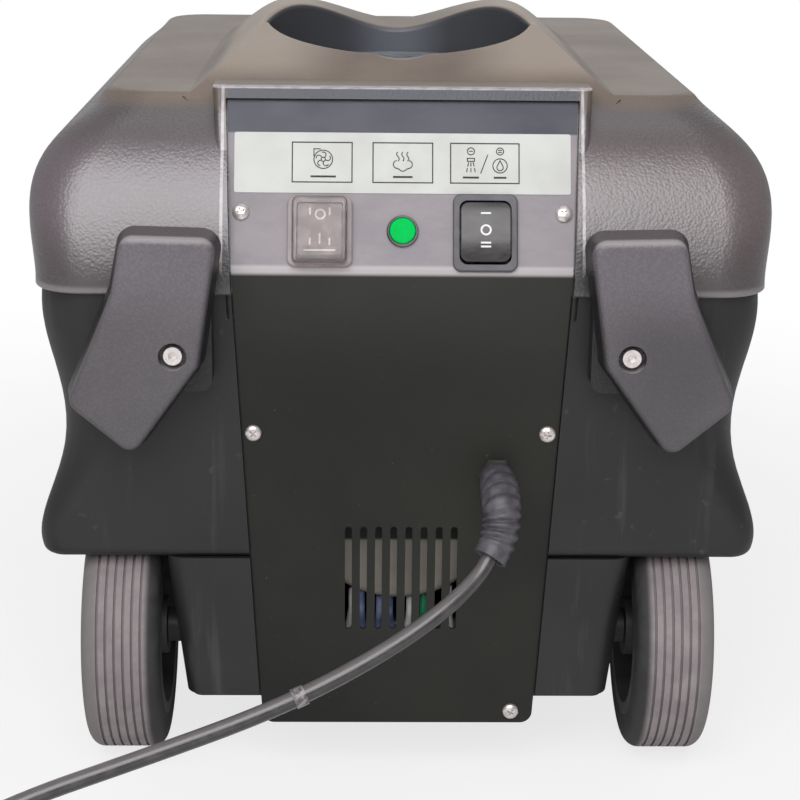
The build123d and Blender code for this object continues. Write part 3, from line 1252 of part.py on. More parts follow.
def recovery_lid():
    """Clear lid with a raised bead and a spigot in the tank's mouth."""
    lid = disc(0, WELL_Y, LID_Z, LID_R, LID_SHEET)
    bead = disc(0, WELL_Y, LID_Z, LID_R, LID_SHEET + LID_BEAD)
    bead -= disc(0, WELL_Y, LID_Z, LID_R - 2 * LID_BEAD, LENGTH)
    outer = MOUTH_R - LOOSE_FIT
    spigot = disc(0, WELL_Y, LID_Z - SPIGOT, outer, SPIGOT)
    spigot -= disc(0, WELL_Y, LID_Z - SPIGOT, outer - SPIGOT_WALL, SPIGOT)
    return lid + bead + spigot


def lid_seal():
    ring = disc(0, WELL_Y, WELL_FLOOR_Z, SEAL_OUTER_R, SEAL)
    return ring - disc(0, WELL_Y, WELL_FLOOR_Z, SEAL_INNER_R, SEAL)


def suction_standpipe():
    """Air pipe from the tank floor up to the strainer."""
    height = STANDPIPE_TOP_Z - RECOVERY_FLOOR_Z
    pipe = disc(0, WELL_Y, RECOVERY_FLOOR_Z, STANDPIPE_R, height)
    return pipe - disc(0, WELL_Y, RECOVERY_FLOOR_Z, STANDPIPE_R - STANDPIPE_WALL, height)


def inlet_strainer():
    """Slotted cap over the standpipe that keeps lint out of the fan."""
    skirt = STRAINER_HEIGHT / 4
    low = STANDPIPE_TOP_Z - skirt
    cap = disc(0, WELL_Y, low, STRAINER_R, STRAINER_HEIGHT)
    cap = fillet(cap.edges().group_by(Axis.Z)[-1], STRAINER_ROUND)
    cap -= disc(0, WELL_Y, STANDPIPE_TOP_Z, STRAINER_R - STRAINER_WALL, STRAINER_HEIGHT - skirt - STRAINER_WALL)
    cap -= disc(0, WELL_Y, low, STANDPIPE_R + RUN_FIT, skirt)
    cap -= disc(0, WELL_Y, low, STANDPIPE_R - STANDPIPE_WALL, STRAINER_HEIGHT / 2)
    slot_low = STANDPIPE_TOP_Z + STRAINER_WALL
    slot_height = STRAINER_HEIGHT - skirt - 4 * STRAINER_WALL
    for i in range(STRAINER_SLOTS):
        slot = Pos(STRAINER_R, 0, slot_low) * Box(3 * STRAINER_WALL, STRAINER_SLOT, slot_height, align=BASE)
        cap -= Pos(0, WELL_Y, 0) * Rot(Z=360 * i / STRAINER_SLOTS) * slot
    return cap


def filler_gasket():
    z = FILLER_FLOOR_Z + NECK_HEIGHT
    return disc(0, FILLER_Y, z, NECK_R, GASKET) - disc(0, FILLER_Y, z, NECK_BORE_R + SEAT_FIT, GASKET)


def filler_cap():
    """Fluted screw cap of the solution tank, level with the deck."""
    low = FILLER_FLOOR_Z + FILLER_CAP_LIFT
    seat = FILLER_FLOOR_Z + NECK_HEIGHT + GASKET
    cap = disc(0, FILLER_Y, low, FILLER_CAP_R, seat + FILLER_CAP_TOP - low)
    cap = fillet(cap.edges().group_by(Axis.Z)[-1], FILLER_CAP_ROUND)
    cap -= disc(0, FILLER_Y, low, NECK_R + LOOSE_FIT, seat - low)
    for i in range(FILLER_CAP_FLUTES):
        turn = 2 * math.pi * i / FILLER_CAP_FLUTES
        reach = FILLER_CAP_R + FLUTE_OUT
        cap -= disc(reach * math.cos(turn), FILLER_Y + reach * math.sin(turn), low, FLUTE_R, LENGTH)
    return cap


def hose_port():
    """Flanged pipe for the suction hose, run through to the recovery tank."""
    outer = PORT_BORE_R + PORT_WALL
    rear = (PORT_X, RECOVERY_FRONT_Y - WALL / 2, PORT_Z)
    front = (PORT_X, NICHE_FLOOR_Y + PORT_REACH, PORT_Z)
    port = rod(rear, front, outer)
    port += rod((PORT_X, NICHE_FLOOR_Y, PORT_Z), (PORT_X, NICHE_FLOOR_Y + PORT_FLANGE, PORT_Z), PORT_FLANGE_R)
    return port - rod(rear, front, PORT_BORE_R)


def solution_coupler():
    """Quick connector for the spray line: hexagon, collar and nipple with a through bore."""
    face = Plane(origin=(COUPLER_X, NICHE_FLOOR_Y, COUPLER_Z), z_dir=(0, 1, 0))
    coupler = extrude(RegularPolygon(COUPLER_FLATS / 2, 6, major_radius=False), amount=COUPLER_HEX)
    coupler += Pos(0, 0, COUPLER_HEX) * Cylinder(COUPLER_COLLAR_R, COUPLER_COLLAR, align=BASE)
    nipple_low = SOLUTION_FRONT_Y - NICHE_FLOOR_Y
    nipple_high = COUPLER_HEX + COUPLER_COLLAR + COUPLER_REACH
    coupler += Pos(0, 0, nipple_low) * Cylinder(COUPLER_R, nipple_high - nipple_low, align=BASE)
    coupler -= Pos(0, 0, nipple_low) * Cylinder(COUPLER_BORE_R, nipple_high - nipple_low, align=BASE)
    return face * coupler


def drain_plug():
    """Screw plug of the solution tank's drain."""
    face = Plane(origin=(0, DRAIN_FLOOR_Y + SEAT_FIT, DRAIN_Z), z_dir=(0, 1, 0))
    plug = Cylinder(DRAIN_CAP_R, DRAIN_CAP, align=BASE)
    plug = fillet(plug.edges().group_by(Axis.Z)[-1], DRAIN_CAP / 6)
    for i in range(FILLER_CAP_FLUTES):
        flute = Pos(DRAIN_CAP_R + FLUTE_OUT, 0, 0) * Cylinder(FLUTE_R, DRAIN_CAP, align=BASE)
        plug -= Rot(Z=360 * i / FILLER_CAP_FLUTES) * flute
    return face * (plug + Pos(0, 0, -DRAIN_SPIGOT) * Cylinder(DRAIN_SPIGOT_R, DRAIN_SPIGOT, align=BASE))


def save(name, shape):
    export_step(shape, f"parts/{name}.step")


save("tank_body", tank_body())
save("base_housing", base_housing())
save("base_tray", base_tray())
save("tray_screws", Compound(children=[s.solid for s in TRAY_SCREWS]))
save("rear_panel", rear_panel())
save("panel_screws", Compound(children=[s.solid for s in PANEL_SCREWS]))
save("label_plate", label_plate())
save("vacuum_switch_frame", switch_frame(-SWITCH_X, VACUUM_BEZEL, VACUUM_WINDOW, VACUUM_CORNER))
save("vacuum_rocker", rocker(-SWITCH_X, VACUUM_WINDOW, VACUUM_CORNER, -ROCKER_DISH, -VACUUM_TILT))
save("vacuum_switch_cover", vacuum_switch_cover())
save("pump_switch_frame", switch_frame(SWITCH_X, PUMP_BEZEL, PUMP_WINDOW, PUMP_CORNER))
save("pump_rocker", rocker(SWITCH_X, PUMP_WINDOW, PUMP_CORNER, ROCKER_DOME, 0))
save("steam_button_ring", steam_button_ring())
save("steam_button", steam_button())
for side, name in ((-1, "left"), (1, "right")):
    save(f"cord_hook_{name}", cord_hook(side))
    save(f"wheel_hub_{name}", wheel_hub(side))
    save(f"tyre_{name}", tyre(side))
    save(f"castor_fork_{name}", castor_fork(side))
    save(f"castor_axle_{name}", castor_axle(side))
    save(f"castor_wheel_{name}", castor_wheel(side))
save("hook_bolts", Compound(children=[hook_bolt(side) for side in (-1, 1)]))
save("wheel_axle", wheel_axle())
save("axle_bushes", Compound(children=[axle_bush(side) for side in (-1, 1)]))
save("axle_caps", Compound(children=[axle_cap(side) for side in (-1, 1)]))
save("castor_plates", castor_plates())
save("castor_bolts", castor_bolts())
save("cord_gland", cord_gland())
save("gland_lock_nut", gland_lock_nut())
save("bend_sleeve", bend_sleeve())
save("power_cord", power_cord())
save("cord_tape_ring", cord_tape_ring())
save("cord_coil", cord_coil())
save("coil_tie", coil_tie())
save("plug_body", plug_body())
save("plug_pins", plug_pins())
save("motor_end_cap", motor_end_cap())
save("motor_body", motor_body())
save("fan_housing", fan_housing())
save("motor_cradle", motor_cradle())
save("pump_unit", pump_unit())
save("heater_block", heater_block())
save("terminal_block", terminal_block())
for name, wires in WIRE_SETS.items():
    save(f"wire_{name}", Compound(children=[wire(*w) for w in wires]))
save("recovery_lid", recovery_lid())
save("lid_seal", lid_seal())
save("suction_standpipe", suction_standpipe())
save("inlet_strainer", inlet_strainer())
save("filler_gasket", filler_gasket())
save("filler_cap", filler_cap())
save("hose_port", hose_port())
save("solution_coupler", solution_coupler())
save("drain_plug", drain_plug())
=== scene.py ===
# %% [markdown]
# # Carpet cleaner machine
# The rear of a portable carpet cleaner: a black moulded tank body on two ribbed wheels, with a folded
# steel panel, two cord hooks and a thick power cord. The solids come from the CAD model and stay where
# they are. This lesson gives them their finishes, and adds the cord, the prints and the small parts
# that need a softer or finer shape.

# %% Load the solids
import bpy
import bmesh
import math
from mathutils import Matrix, Vector
from mathutils.bvhtree import BVHTree


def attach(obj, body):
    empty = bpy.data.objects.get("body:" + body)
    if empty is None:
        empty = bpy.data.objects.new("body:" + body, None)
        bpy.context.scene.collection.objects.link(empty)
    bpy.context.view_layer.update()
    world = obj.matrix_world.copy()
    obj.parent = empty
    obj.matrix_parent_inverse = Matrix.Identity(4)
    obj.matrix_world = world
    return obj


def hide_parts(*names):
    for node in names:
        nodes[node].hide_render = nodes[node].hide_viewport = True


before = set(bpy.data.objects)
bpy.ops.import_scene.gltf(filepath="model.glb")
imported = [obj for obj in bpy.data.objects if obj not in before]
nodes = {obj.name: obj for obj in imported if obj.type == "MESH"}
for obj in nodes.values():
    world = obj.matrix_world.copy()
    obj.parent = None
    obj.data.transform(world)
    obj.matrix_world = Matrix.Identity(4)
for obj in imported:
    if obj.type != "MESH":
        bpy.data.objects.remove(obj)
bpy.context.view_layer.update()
scene = bpy.context.scene
scene.view_settings.view_transform = "Standard"

# %% [markdown]
# ## Camera
# The photo was taken from behind the machine, a little above the deck, turned slightly to the right and
# tilted by less than a degree. A camera's place can be found by hand or by fitting it to known points.
# Here it was fitted to the screws, the label, the vent and the deck edges, so the numbers are not round.

# %% Camera
EYE = (-0.0207, -1.1132, 0.4690)
LOOKS_DOWN = math.radians(16.78)
TURNS_RIGHT = math.radians(1.29)
ROLLS = math.radians(0.68)
FOCAL_PIXELS = 1959
IMAGE_PIXELS = 800
SENSOR_MM = 36

camera = bpy.data.objects.new("camera", bpy.data.cameras.new("camera"))
camera.data.sensor_width = SENSOR_MM
camera.data.lens = SENSOR_MM * FOCAL_PIXELS / IMAGE_PIXELS
camera.matrix_world = (Matrix.Translation(EYE) @ Matrix.Rotation(-TURNS_RIGHT, 4, "Z")
                       @ Matrix.Rotation(math.pi / 2 - LOOKS_DOWN, 4, "X") @ Matrix.Rotation(ROLLS, 4, "Z"))
scene.collection.objects.link(camera)
scene.camera = camera
print("lens", round(camera.data.lens, 1), "mm")

# %% [markdown]
# ## Power cord
# A round 8 mm rubber cord comes down out of its sleeve, crosses the vent and leaves the picture at the
# lower left. The rest of its length is put away in a tied coil with the plug beside it. A cord could be
# a chain of straight tubes, but a smooth line is one NURBS curve with a round bevel. Its control points
# are the route's own points, and the coil adds sixteen of them a turn: four spirals on top of each
# other, each wound from the outside in or from the inside out.

# %% Route of the cord
CORD_EXIT = (0.041, -0.262, 0.1356)
ROUTE = [
    (0.0450, -0.2586, 0.1416), CORD_EXIT, (0.0360, -0.2662, 0.1280), (0.0232, -0.277, 0.1188),
    (0.0024, -0.287, 0.1061), (-0.0281, -0.298, 0.0914), (-0.0645, -0.307, 0.0765),
    (-0.119, -0.316, 0.059), (-0.172, -0.327, 0.044), (-0.216, -0.344, 0.027), (-0.250, -0.371, 0.012),
]
CORD_WIDTH = 0.008
COIL_MIDDLE = Vector((-0.298, -0.329, 0.0064))
COIL_START = math.radians(-41.2)
COIL_TURNS = 16.469
SPIRAL_TURNS, RISE_TURNS = 4, 0.25
OUTER, INNER = 0.064, 0.032
PER_TURN = 16
FIRST_DROP = 0.0056


def coil_point(turn):
    """A control point of the coil, after so many turns."""
    layer, turned = divmod(turn, SPIRAL_TURNS + RISE_TURNS)
    along = min(turned, SPIRAL_TURNS) / SPIRAL_TURNS
    start, end = (OUTER, INNER) if layer % 2 == 0 else (INNER, OUTER)
    reach = (start + (end - start) * along) / math.cos(math.pi / PER_TURN)
    rise = layer + max(0, turned - SPIRAL_TURNS) / RISE_TURNS
    angle = COIL_START - 2 * math.pi * turn
    drop = FIRST_DROP * max(0, 1 - turn / RISE_TURNS)
    lift = rise * CORD_WIDTH + drop
    return COIL_MIDDLE + Vector((reach * math.cos(angle), reach * math.sin(angle), lift))


coil_steps = int(COIL_TURNS * PER_TURN)
coil = [coil_point(COIL_TURNS * step / coil_steps) for step in range(1, coil_steps + 1)]

TAIL_TURN = math.radians(150)
TAIL = [(0.024, 0.0304), (0.042, 0.0295), (0.062, 0.021), (0.08, 0.0184)]
outward = Vector((math.cos(TAIL_TURN), math.sin(TAIL_TURN), 0))
tail_start = Vector((COIL_MIDDLE.x, COIL_MIDDLE.y, 0)) + outward * OUTER
tail_way = Vector((outward.y, -outward.x, 0))
tail = [tail_start + tail_way * reach + Vector((0, 0, height)) for reach, height in TAIL]
print("cord points", len(ROUTE) + len(coil) + len(tail))


# %% Cord as a curve
def smooth_line(name, points, thickness=0.0):
    """One open NURBS spline along its control points; their radius gives its thickness."""
    curve = bpy.data.curves.new(name, "CURVE")
    curve.dimensions = "3D"
    curve.resolution_u = 8
    curve.bevel_depth = 1 if thickness else 0
    curve.bevel_resolution = 5
    curve.use_fill_caps = thickness > 0
    spline = curve.splines.new("NURBS")
    spline.points.add(len(points) - 1)
    for spot, place in zip(spline.points, points):
        spot.co, spot.radius = (*place, 1), thickness / 2
    spline.order_u = 3
    spline.use_endpoint_u = True
    line = bpy.data.objects.new(name, curve)
    scene.collection.objects.link(line)
    return line


cord = smooth_line("power_lead", ROUTE + coil + tail, CORD_WIDTH)
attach(cord, "machine")
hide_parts("power_cord", "cord_coil")
print("cord made")

# %% [markdown]
# ## A socket that does maths
# A finish is made of nodes, and linking them by hand takes many lines. This small class holds one output
# socket and turns Python's operators into Math nodes, so that a mask reads like a formula. Every other
# node comes from `add`.

# %% Socket maths
class Flow:
    """An output socket in a node tree, with operators for its maths."""

    def __init__(self, tree, socket):
        self.tree = tree
        self.socket = socket

    def add(self, kind, settings=None, inputs=None, out=0):
        """A new node in the same tree, with its settings and inputs."""
        node = self.tree.nodes.new("ShaderNode" + kind)
        for name, value in (settings or {}).items():
            setattr(node, name, value)
        for name, value in (inputs or {}).items():
            if isinstance(value, Flow):
                self.tree.links.new(value.socket, node.inputs[name])
            else:
                node.inputs[name].default_value = value
        return Flow(self.tree, node.outputs[out])

    def math(self, operation, *values):
        return self.add("Math", {"operation": operation}, dict(enumerate(values)))

    def __add__(self, other):
        return self.math("ADD", self, other)

    def __sub__(self, other):
        return self.math("SUBTRACT", self, other)

    def __rsub__(self, other):
        return self.math("SUBTRACT", other, self)

    def __mul__(self, other):
        return self.math("MULTIPLY", self, other)

    def __pow__(self, other):
        return self.math("POWER", self, other)


print("socket maths ready")


# %% Words for patterns
def rgb(red, green, blue):
    """A colour from 0 to 255, as an eye sees it, in the shader's linear numbers."""
    return (*[(c / 255) ** 2.2 for c in (red, green, blue)], 1)


def noise(place, scale, detail=3, rough=0.5):
    inputs = {"Vector": place, "Scale": scale, "Detail": detail, "Roughness": rough}
    return place.add("TexNoise", {}, inputs, "Fac")


def pebbles(place, scale, soft=0.6):
    """Rounded cells, as in moulded leather grain."""
    inputs = {"Vector": place, "Scale": scale, "Smoothness": soft}
    return place.add("TexVoronoi", {"feature": "SMOOTH_F1"}, inputs, "Distance")


def stretch(place, x, y, z):
    return place.add("VectorMath", {"operation": "MULTIPLY"}, {0: place, 1: (x, y, z)}, "Vector")


def part(place, axis):
    return place.add("SeparateXYZ", {}, {"Vector": place}, axis)


def size_of(value):
    return value.math("ABSOLUTE", value)


def fade(value, low, high, start=0.0, end=1.0):
    """Goes softly from one number to another while the value goes from low to high."""
    inputs = {"Value": value, "From Min": low, "From Max": high, "To Min": start, "To Max": end}
    return value.add("MapRange", {"interpolation_type": "SMOOTHSTEP"}, inputs)


def band(value, low, high, soft):
    """1 from low to high, with a soft edge outside them."""
    return fade(value, low - soft, low) * fade(value, high + soft, high)


def blend(mask, first, second):
    """One colour where the mask is 0, another where it is 1."""
    return mask.add("Mix", {"data_type": "RGBA"}, {0: mask, 6: first, 7: second}, 2)


def bump(height, depth, strength=1.0, under=None):
    """Raises the surface by a depth in metres; under is the bump below it."""
    inputs = {"Height": height, "Distance": depth, "Strength": strength}
    if under:
        inputs["Normal"] = under
    return height.add("Bump", {}, inputs, "Normal")


print("words for patterns ready")

# %% Words for finishes
finishes = {}


def finish(name, paint, **fixed):
    """A material that looks as its paint says, with the fixed numbers set on the shader."""
    material = bpy.data.materials.new(name)
    material.use_nodes = True
    tree = material.node_tree
    shader = tree.nodes["Principled BSDF"]
    for socket, value in fixed.items():
        shader.inputs[socket.replace("_", " ")].default_value = value
    coordinates = tree.nodes.new("ShaderNodeTexCoord")
    place = Flow(tree, coordinates.outputs["Object"])
    facing = Flow(tree, coordinates.outputs["Normal"])
    for socket, value in paint(place, facing).items():
        if isinstance(value, Flow):
            tree.links.new(value.socket, shader.inputs[socket])
        else:
            shader.inputs[socket].default_value = value
    finishes[name] = material
    return material


def dress(material, *names):
    """Gives a finish to CAD nodes."""
    for name in names:
        for slot in nodes[name].material_slots:
            slot.material = material


print("words for finishes ready")

# %% [markdown]
# ## Floor and light
# The machine stands on a plain white floor, lit by three large soft boxes: one behind the camera, one
# overhead and one beyond the machine, with a dim white room around. Spot lamps would give hard shadows,
# so area lamps are used. The floor keeps a soft shadow near the wheels and turns to plain white further
# out, where the picture has nothing but background.

# %% White room
ROOM_LIGHT = 0.3
WHITE = (1, 1, 1, 1)


def seen_directly(tree):
    """1 for the rays of the camera, also through a clear part, which show the background as it is."""
    rays = tree.nodes.new("ShaderNodeLightPath")
    camera_ray, clear = [Flow(tree, rays.outputs[n]) for n in ("Is Camera Ray", "Is Transmission Ray")]
    return camera_ray.math("MAXIMUM", camera_ray, clear)


def choose(tree, mask, first, second, output):
    """Sends one shader to the output where the mask is 0, another where it is 1."""
    choice = tree.nodes.new("ShaderNodeMixShader")
    tree.links.new(mask.socket, choice.inputs[0])
    tree.links.new(first.outputs[0], choice.inputs[1])
    tree.links.new(second.outputs[0], choice.inputs[2])
    tree.links.new(choice.outputs[0], tree.nodes[output].inputs["Surface"])


world = bpy.data.worlds.new("white_room")
scene.world = world
world.use_nodes = True
room = world.node_tree
lighting = room.nodes["Background"]
lighting.inputs["Strength"].default_value = ROOM_LIGHT
backdrop = room.nodes.new("ShaderNodeBackground")
for background in (lighting, backdrop):
    background.inputs["Color"].default_value = WHITE
choose(room, seen_directly(room), lighting, backdrop, "World Output")
print("room light", ROOM_LIGHT)

# %% Floor
FLOOR_HALF = 6.0
FLOOR_NEAR, FLOOR_FAR = 0.3, 0.9
NEAR_WHITE = 0.76

mesh = bpy.data.meshes.new("floor")
corners = [(-1, -1), (1, -1), (1, 1), (-1, 1)]
mesh.from_pydata([(x * FLOOR_HALF, y * FLOOR_HALF, 0) for x, y in corners], [], [(0, 1, 2, 3)])
floor = bpy.data.objects.new("floor", mesh)
scene.collection.objects.link(floor)


def floor_paint(place, facing):
    speck = noise(place, 18, 4)
    return {"Base Color": blend(fade(speck, 0.3, 0.7), (0.89, 0.89, 0.89, 1), (0.92, 0.92, 0.92, 1)),
            "Roughness": fade(speck, 0.2, 0.8, 0.7, 0.85)}


white_floor = finish("white_floor", floor_paint)
tree = white_floor.node_tree
place = Flow(tree, tree.nodes["Texture Coordinate"].outputs["Object"])
away = place.add("VectorMath", {"operation": "LENGTH"}, {0: place}, "Value")
far = fade(away, FLOOR_NEAR, FLOOR_FAR, NEAR_WHITE, 1) * seen_directly(tree)
glow = tree.nodes.new("ShaderNodeEmission")
choose(tree, far, tree.nodes["Principled BSDF"], glow, "Material Output")
floor.data.materials.append(white_floor)
print("floor", 2 * FLOOR_HALF, "m wide")


# %% Soft boxes
def soft_box(name, spot, aim, width, height, radiance):
    lamp = bpy.data.lights.new(name, "AREA")
    lamp.shape = "RECTANGLE"
    lamp.size, lamp.size_y = width, height
    lamp.energy = radiance * math.pi * width * height
    box = bpy.data.objects.new(name, lamp)
    box.location = spot
    box.rotation_euler = (Vector(aim) - Vector(spot)).to_track_quat("-Z", "Y").to_euler()
    scene.collection.objects.link(box)
    print(name, round(lamp.energy, 1), "W")


REAR_AIM, DECK_AIM = (0, -0.2, 0.28), (0, 0, 0.3)
soft_box("soft_box_behind", (-0.26, -1.765, 1.572), REAR_AIM, width=1.8, height=1.5, radiance=4.2)
soft_box("soft_box_overhead", (0.1, 0.5, 2.2), DECK_AIM, width=1.4, height=1.4, radiance=0.8)
soft_box("soft_box_beyond", (0, 2.3, 1.1), DECK_AIM, width=2.4, height=1.2, radiance=0.6)

# %% [markdown]
# ## Moulded tank body
# The body is rotational moulded black plastic. Its upper bulge has a pebbled leather grain and a painted
# highlight band across its middle, and holds dust on top; below the ledge the wall is smooth, darker and
# scuffed. An image could show all this, but it would stretch over the bulge, so the grain is made of cells in
# the machine's own space and the change at the ledge follows the height.

# %% Bulge, deck and well
DECK_LOW, DECK_HIGH = 0.329, 0.3355
SADDLE_LOW, SADDLE_HIGH = 0.341, 0.35
WELL_Y, WELL_RADIUS, WELL_FLOOR = -0.056, 0.07, 0.331


def bulge_colour(place, cloud, grain):
    """A painted highlight band across the middle, a little warmer on the right, and darker in its pores."""
    height = part(place, "Z")
    # Painted highlight: a paler band across the middle of the bulge, darker above and below it.
    highlight_band = fade(height, 0.254, 0.29) * fade(height, 0.336, 0.306)
    warmer = fade(part(place, "X"), -0.08, 0.12)
    colour = blend(highlight_band, rgb(62, 54, 56), blend(warmer, rgb(109, 98, 105), rgb(106, 93, 95)))
    colour = blend(fade(cloud, 0.35, 0.75) * 0.35, colour, rgb(79, 69, 71))
    return blend(fade(grain, 0.3, 0.6) * 0.2, colour, rgb(40, 38, 39))


def deck_colour(place, facing):
    """Brown dust, with painted shade on the flanks and a painted highlight on the horns of the saddle."""
    horns = fade(part(place, "Z"), SADDLE_LOW, SADDLE_HIGH) * fade(size_of(part(place, "X")), 0.02, 0.065)
    colour = blend(fade(noise(place, 26, 5, 0.6), 0.3, 0.7), rgb(112, 99, 90), rgb(124, 111, 101))
    # Painted shade: darker where the surface turns away from facing up.
    colour = blend(fade(part(facing, "Z"), 0.85, 0.5) * 0.7, colour, rgb(84, 76, 71))
    # Painted highlight on the horns of the saddle.
    return blend(horns, colour, rgb(160, 146, 134))


# Bluish grey as painted reflection, paler towards the middle across the machine as a painted reflection
# streak.
def well_colour(place):
    return blend(fade(size_of(part(place, "X")), 0.032, 0.004), rgb(68, 69, 74), rgb(96, 98, 108))


def well_mask(place):
    across, back = part(place, "X"), part(place, "Y") - WELL_Y
    from_axis = (across * across + back * back) ** 0.5
    inside = fade(from_axis, WELL_RADIUS + 0.0012, WELL_RADIUS + 0.0002)
    return inside * fade(part(place, "Z"), WELL_FLOOR - 0.0005, WELL_FLOOR + 0.0005)


print("bulge from the ledge up to", DECK_HIGH, "m")

# %% Wall, and painted light and shade at the edges
LEDGE_HEIGHT = 0.25
NICHE_HALF, NICHE_TOP = 0.0832, 0.338
BLOCK_BACK = -0.176


def wall_colour(place, cloud, fine):
    """Nearly black, with streaks and small pale scuffs."""
    streak = noise(stretch(place, 90, 90, 7), 1, 4, 0.6)
    colour = blend(fade(cloud, 0.3, 0.72), rgb(34, 34, 35), rgb(44, 43, 43))
    colour = blend(fade(streak, 0.58, 0.74) * 0.28, colour, rgb(84, 81, 80))
    return blend(fade(fine, 0.66, 0.8) * 0.25, colour, rgb(104, 98, 94))


def edge_light_and_shade(place, colour, upper, fine):
    """Painted highlights on the ledge and round the panel's niche, painted shade on the block's face above
    the niche, and shade beside the foot of its block.
    """
    height, across = part(place, "Z"), size_of(part(place, "X"))
    behind = fade(part(place, "Y"), BLOCK_BACK + 0.002, BLOCK_BACK - 0.002)
    # Painted highlight along the ledge.
    ledge = fade(height, LEDGE_HEIGHT - 0.001, LEDGE_HEIGHT)
    ledge = ledge * fade(height, LEDGE_HEIGHT + 0.0045, LEDGE_HEIGHT + 0.002)
    colour = blend(ledge * 0.7, colour, rgb(132, 124, 126))
    foot = fade(height, 0.292, 0.268) * fade(across, 0.096, 0.09) * behind * upper
    colour = blend(foot * 0.85, colour, rgb(42, 41, 42))
    # Painted shade on the block's face above the niche.
    block_face = behind * fade(height, 0.258, 0.266)
    recess = fade(height, NICHE_TOP - 0.001, NICHE_TOP) * fade(across, NICHE_HALF + 0.001, NICHE_HALF - 0.001)
    colour = blend(recess * block_face, colour, rgb(72, 72, 82))
    # Painted highlights on the niche's lip, crest and sides.
    lip = band(height, NICHE_TOP + 0.0044, NICHE_TOP + 0.0058, 0.0006)
    crest = band(height, NICHE_TOP + 0.008, NICHE_TOP + 0.009, 0.0006)
    side = band(across, NICHE_HALF + 0.0014, NICHE_HALF + 0.0024, 0.0004)
    side = side * fade(height, NICHE_TOP + 0.006, NICHE_TOP + 0.004)
    rim_highlight = (lip + crest + side) * block_face * fade(fine, 0.3, 0.6, 0.5, 0.9)
    return blend(rim_highlight, colour, rgb(192, 184, 188))


print("ledge at", LEDGE_HEIGHT, "m")


# %% Tank body finish
def body_paint(place, facing):
    cloud, fine, grain = noise(place, 9, 4), noise(place, 160, 3), pebbles(place, 740)
    upper = fade(part(place, "Z"), LEDGE_HEIGHT - 0.0005, LEDGE_HEIGHT + 0.0005)
    deck = fade(part(place, "Z"), DECK_LOW, DECK_HIGH)
    well = well_mask(place)
    bulge = blend(deck, bulge_colour(place, cloud, grain), deck_colour(place, facing))
    bulge = blend(well, bulge, well_colour(place))
    colour = edge_light_and_shade(place, blend(upper, wall_colour(place, cloud, fine), bulge), upper, fine)
    rough = blend(upper, fade(cloud, 0.3, 0.7, 0.42, 0.5), fade(cloud, 0.3, 0.7, 0.38, 0.46))
    swell = bump(noise(place, 22, 2), 0.0007, 0.3)
    skin = bump((1 - grain) * upper * (1 - well) + fine * 0.35, 0.00017, 0.75, swell)
    return {"Base Color": colour, "Roughness": rough, "Normal": skin,
            "Coat Normal": skin, "Coat Weight": upper * (1 - deck) * 0.9}


dress(finish("body_moulding", body_paint, Coat_IOR=1.8, Coat_Roughness=0.37), "tank_body")


def housing_paint(place, facing):
    cloud = noise(place, 12, 4)
    streak = noise(stretch(place, 80, 80, 9), 1, 4, 0.6)
    colour = blend(fade(cloud, 0.3, 0.7), rgb(34, 35, 35), rgb(46, 46, 46))
    colour = blend(fade(streak, 0.6, 0.76) * 0.4, colour, rgb(82, 80, 78))
    return {"Base Color": colour, "Roughness": fade(cloud, 0.3, 0.7, 0.42, 0.56),
            "Normal": bump(noise(place, 240, 3), 0.0002, 0.5)}


dress(finish("housing_moulding", housing_paint), "base_housing")
print("body and housing finished")

# %% [markdown]
# ## Cord hooks
# The hooks are moulded with the same pebbled grain, with a painted highlight at the top and on edges that
# face up. A hook is one solid with its foot plate, so a mask by depth paints shade on what lies behind its
# face, but not the ring round the bolt.

# %% Hook finish
HOOK_FOOT = -0.2385
HOOK_BOLT_ACROSS, HOOK_BOLT_HEIGHT = 0.106, 0.227
BOLT_CLEAR = 0.0072, 0.008


def hook_paint(place, facing):
    grain, cloud = pebbles(place, 760), noise(place, 14, 3)
    crease = noise(stretch(place, 90, 90, 60), 1, 5, 0.65)
    height, faces_up = part(place, "Z"), part(facing, "Z")
    colour = blend(fade(cloud, 0.3, 0.7), rgb(84, 80, 85), rgb(98, 94, 98))
    # Painted highlight: paler towards the top and on faces that point up.
    colour = blend(fade(height, 0.232, 0.268) * 0.55, colour, rgb(128, 122, 128))
    colour = blend(fade(grain, 0.25, 0.6) * 0.2, colour, rgb(62, 60, 62))
    colour = blend(fade(faces_up, 0.3, 0.9) * 0.8, colour, rgb(172, 165, 166))
    across, up = size_of(part(place, "X")) - HOOK_BOLT_ACROSS, height - HOOK_BOLT_HEIGHT
    from_bolt = (across * across + up * up) ** 0.5
    # Painted shade behind the hook's face, except round the bolt.
    behind_face = fade(part(place, "Y"), HOOK_FOOT - 0.003, HOOK_FOOT) * fade(from_bolt, *BOLT_CLEAR)
    shaded = blend(fade(faces_up, 0.5, 0.9), rgb(40, 39, 40), rgb(88, 82, 85))
    skin = bump((1 - grain) + crease * 0.8, 0.00026, 0.85)
    return {"Base Color": blend(behind_face, colour, shaded),
            "Roughness": fade(crease, 0.3, 0.7, 0.36, 0.48), "Normal": skin}


dress(finish("hook_moulding", hook_paint), "cord_hook_left", "cord_hook_right")
print("hooks finished")

# %% [markdown]
# ## Panel, label and print
# The panel is folded sheet steel with a black baked enamel. The leaning part catches the light and is painted
# paler as painted light, with painted shade on the strip above the label; the upright part is a dull olive
# black, and the fold has a painted highlight. The label is a pale film; its pictograms are raised ink lines,
# made as thin closed ribbons that are dropped on the film along the panel's own slope, so that they sit on it
# from every side.

# %% Panel and label finish
BEND_HEIGHT = 0.26
STRIP_HEIGHT = 0.322


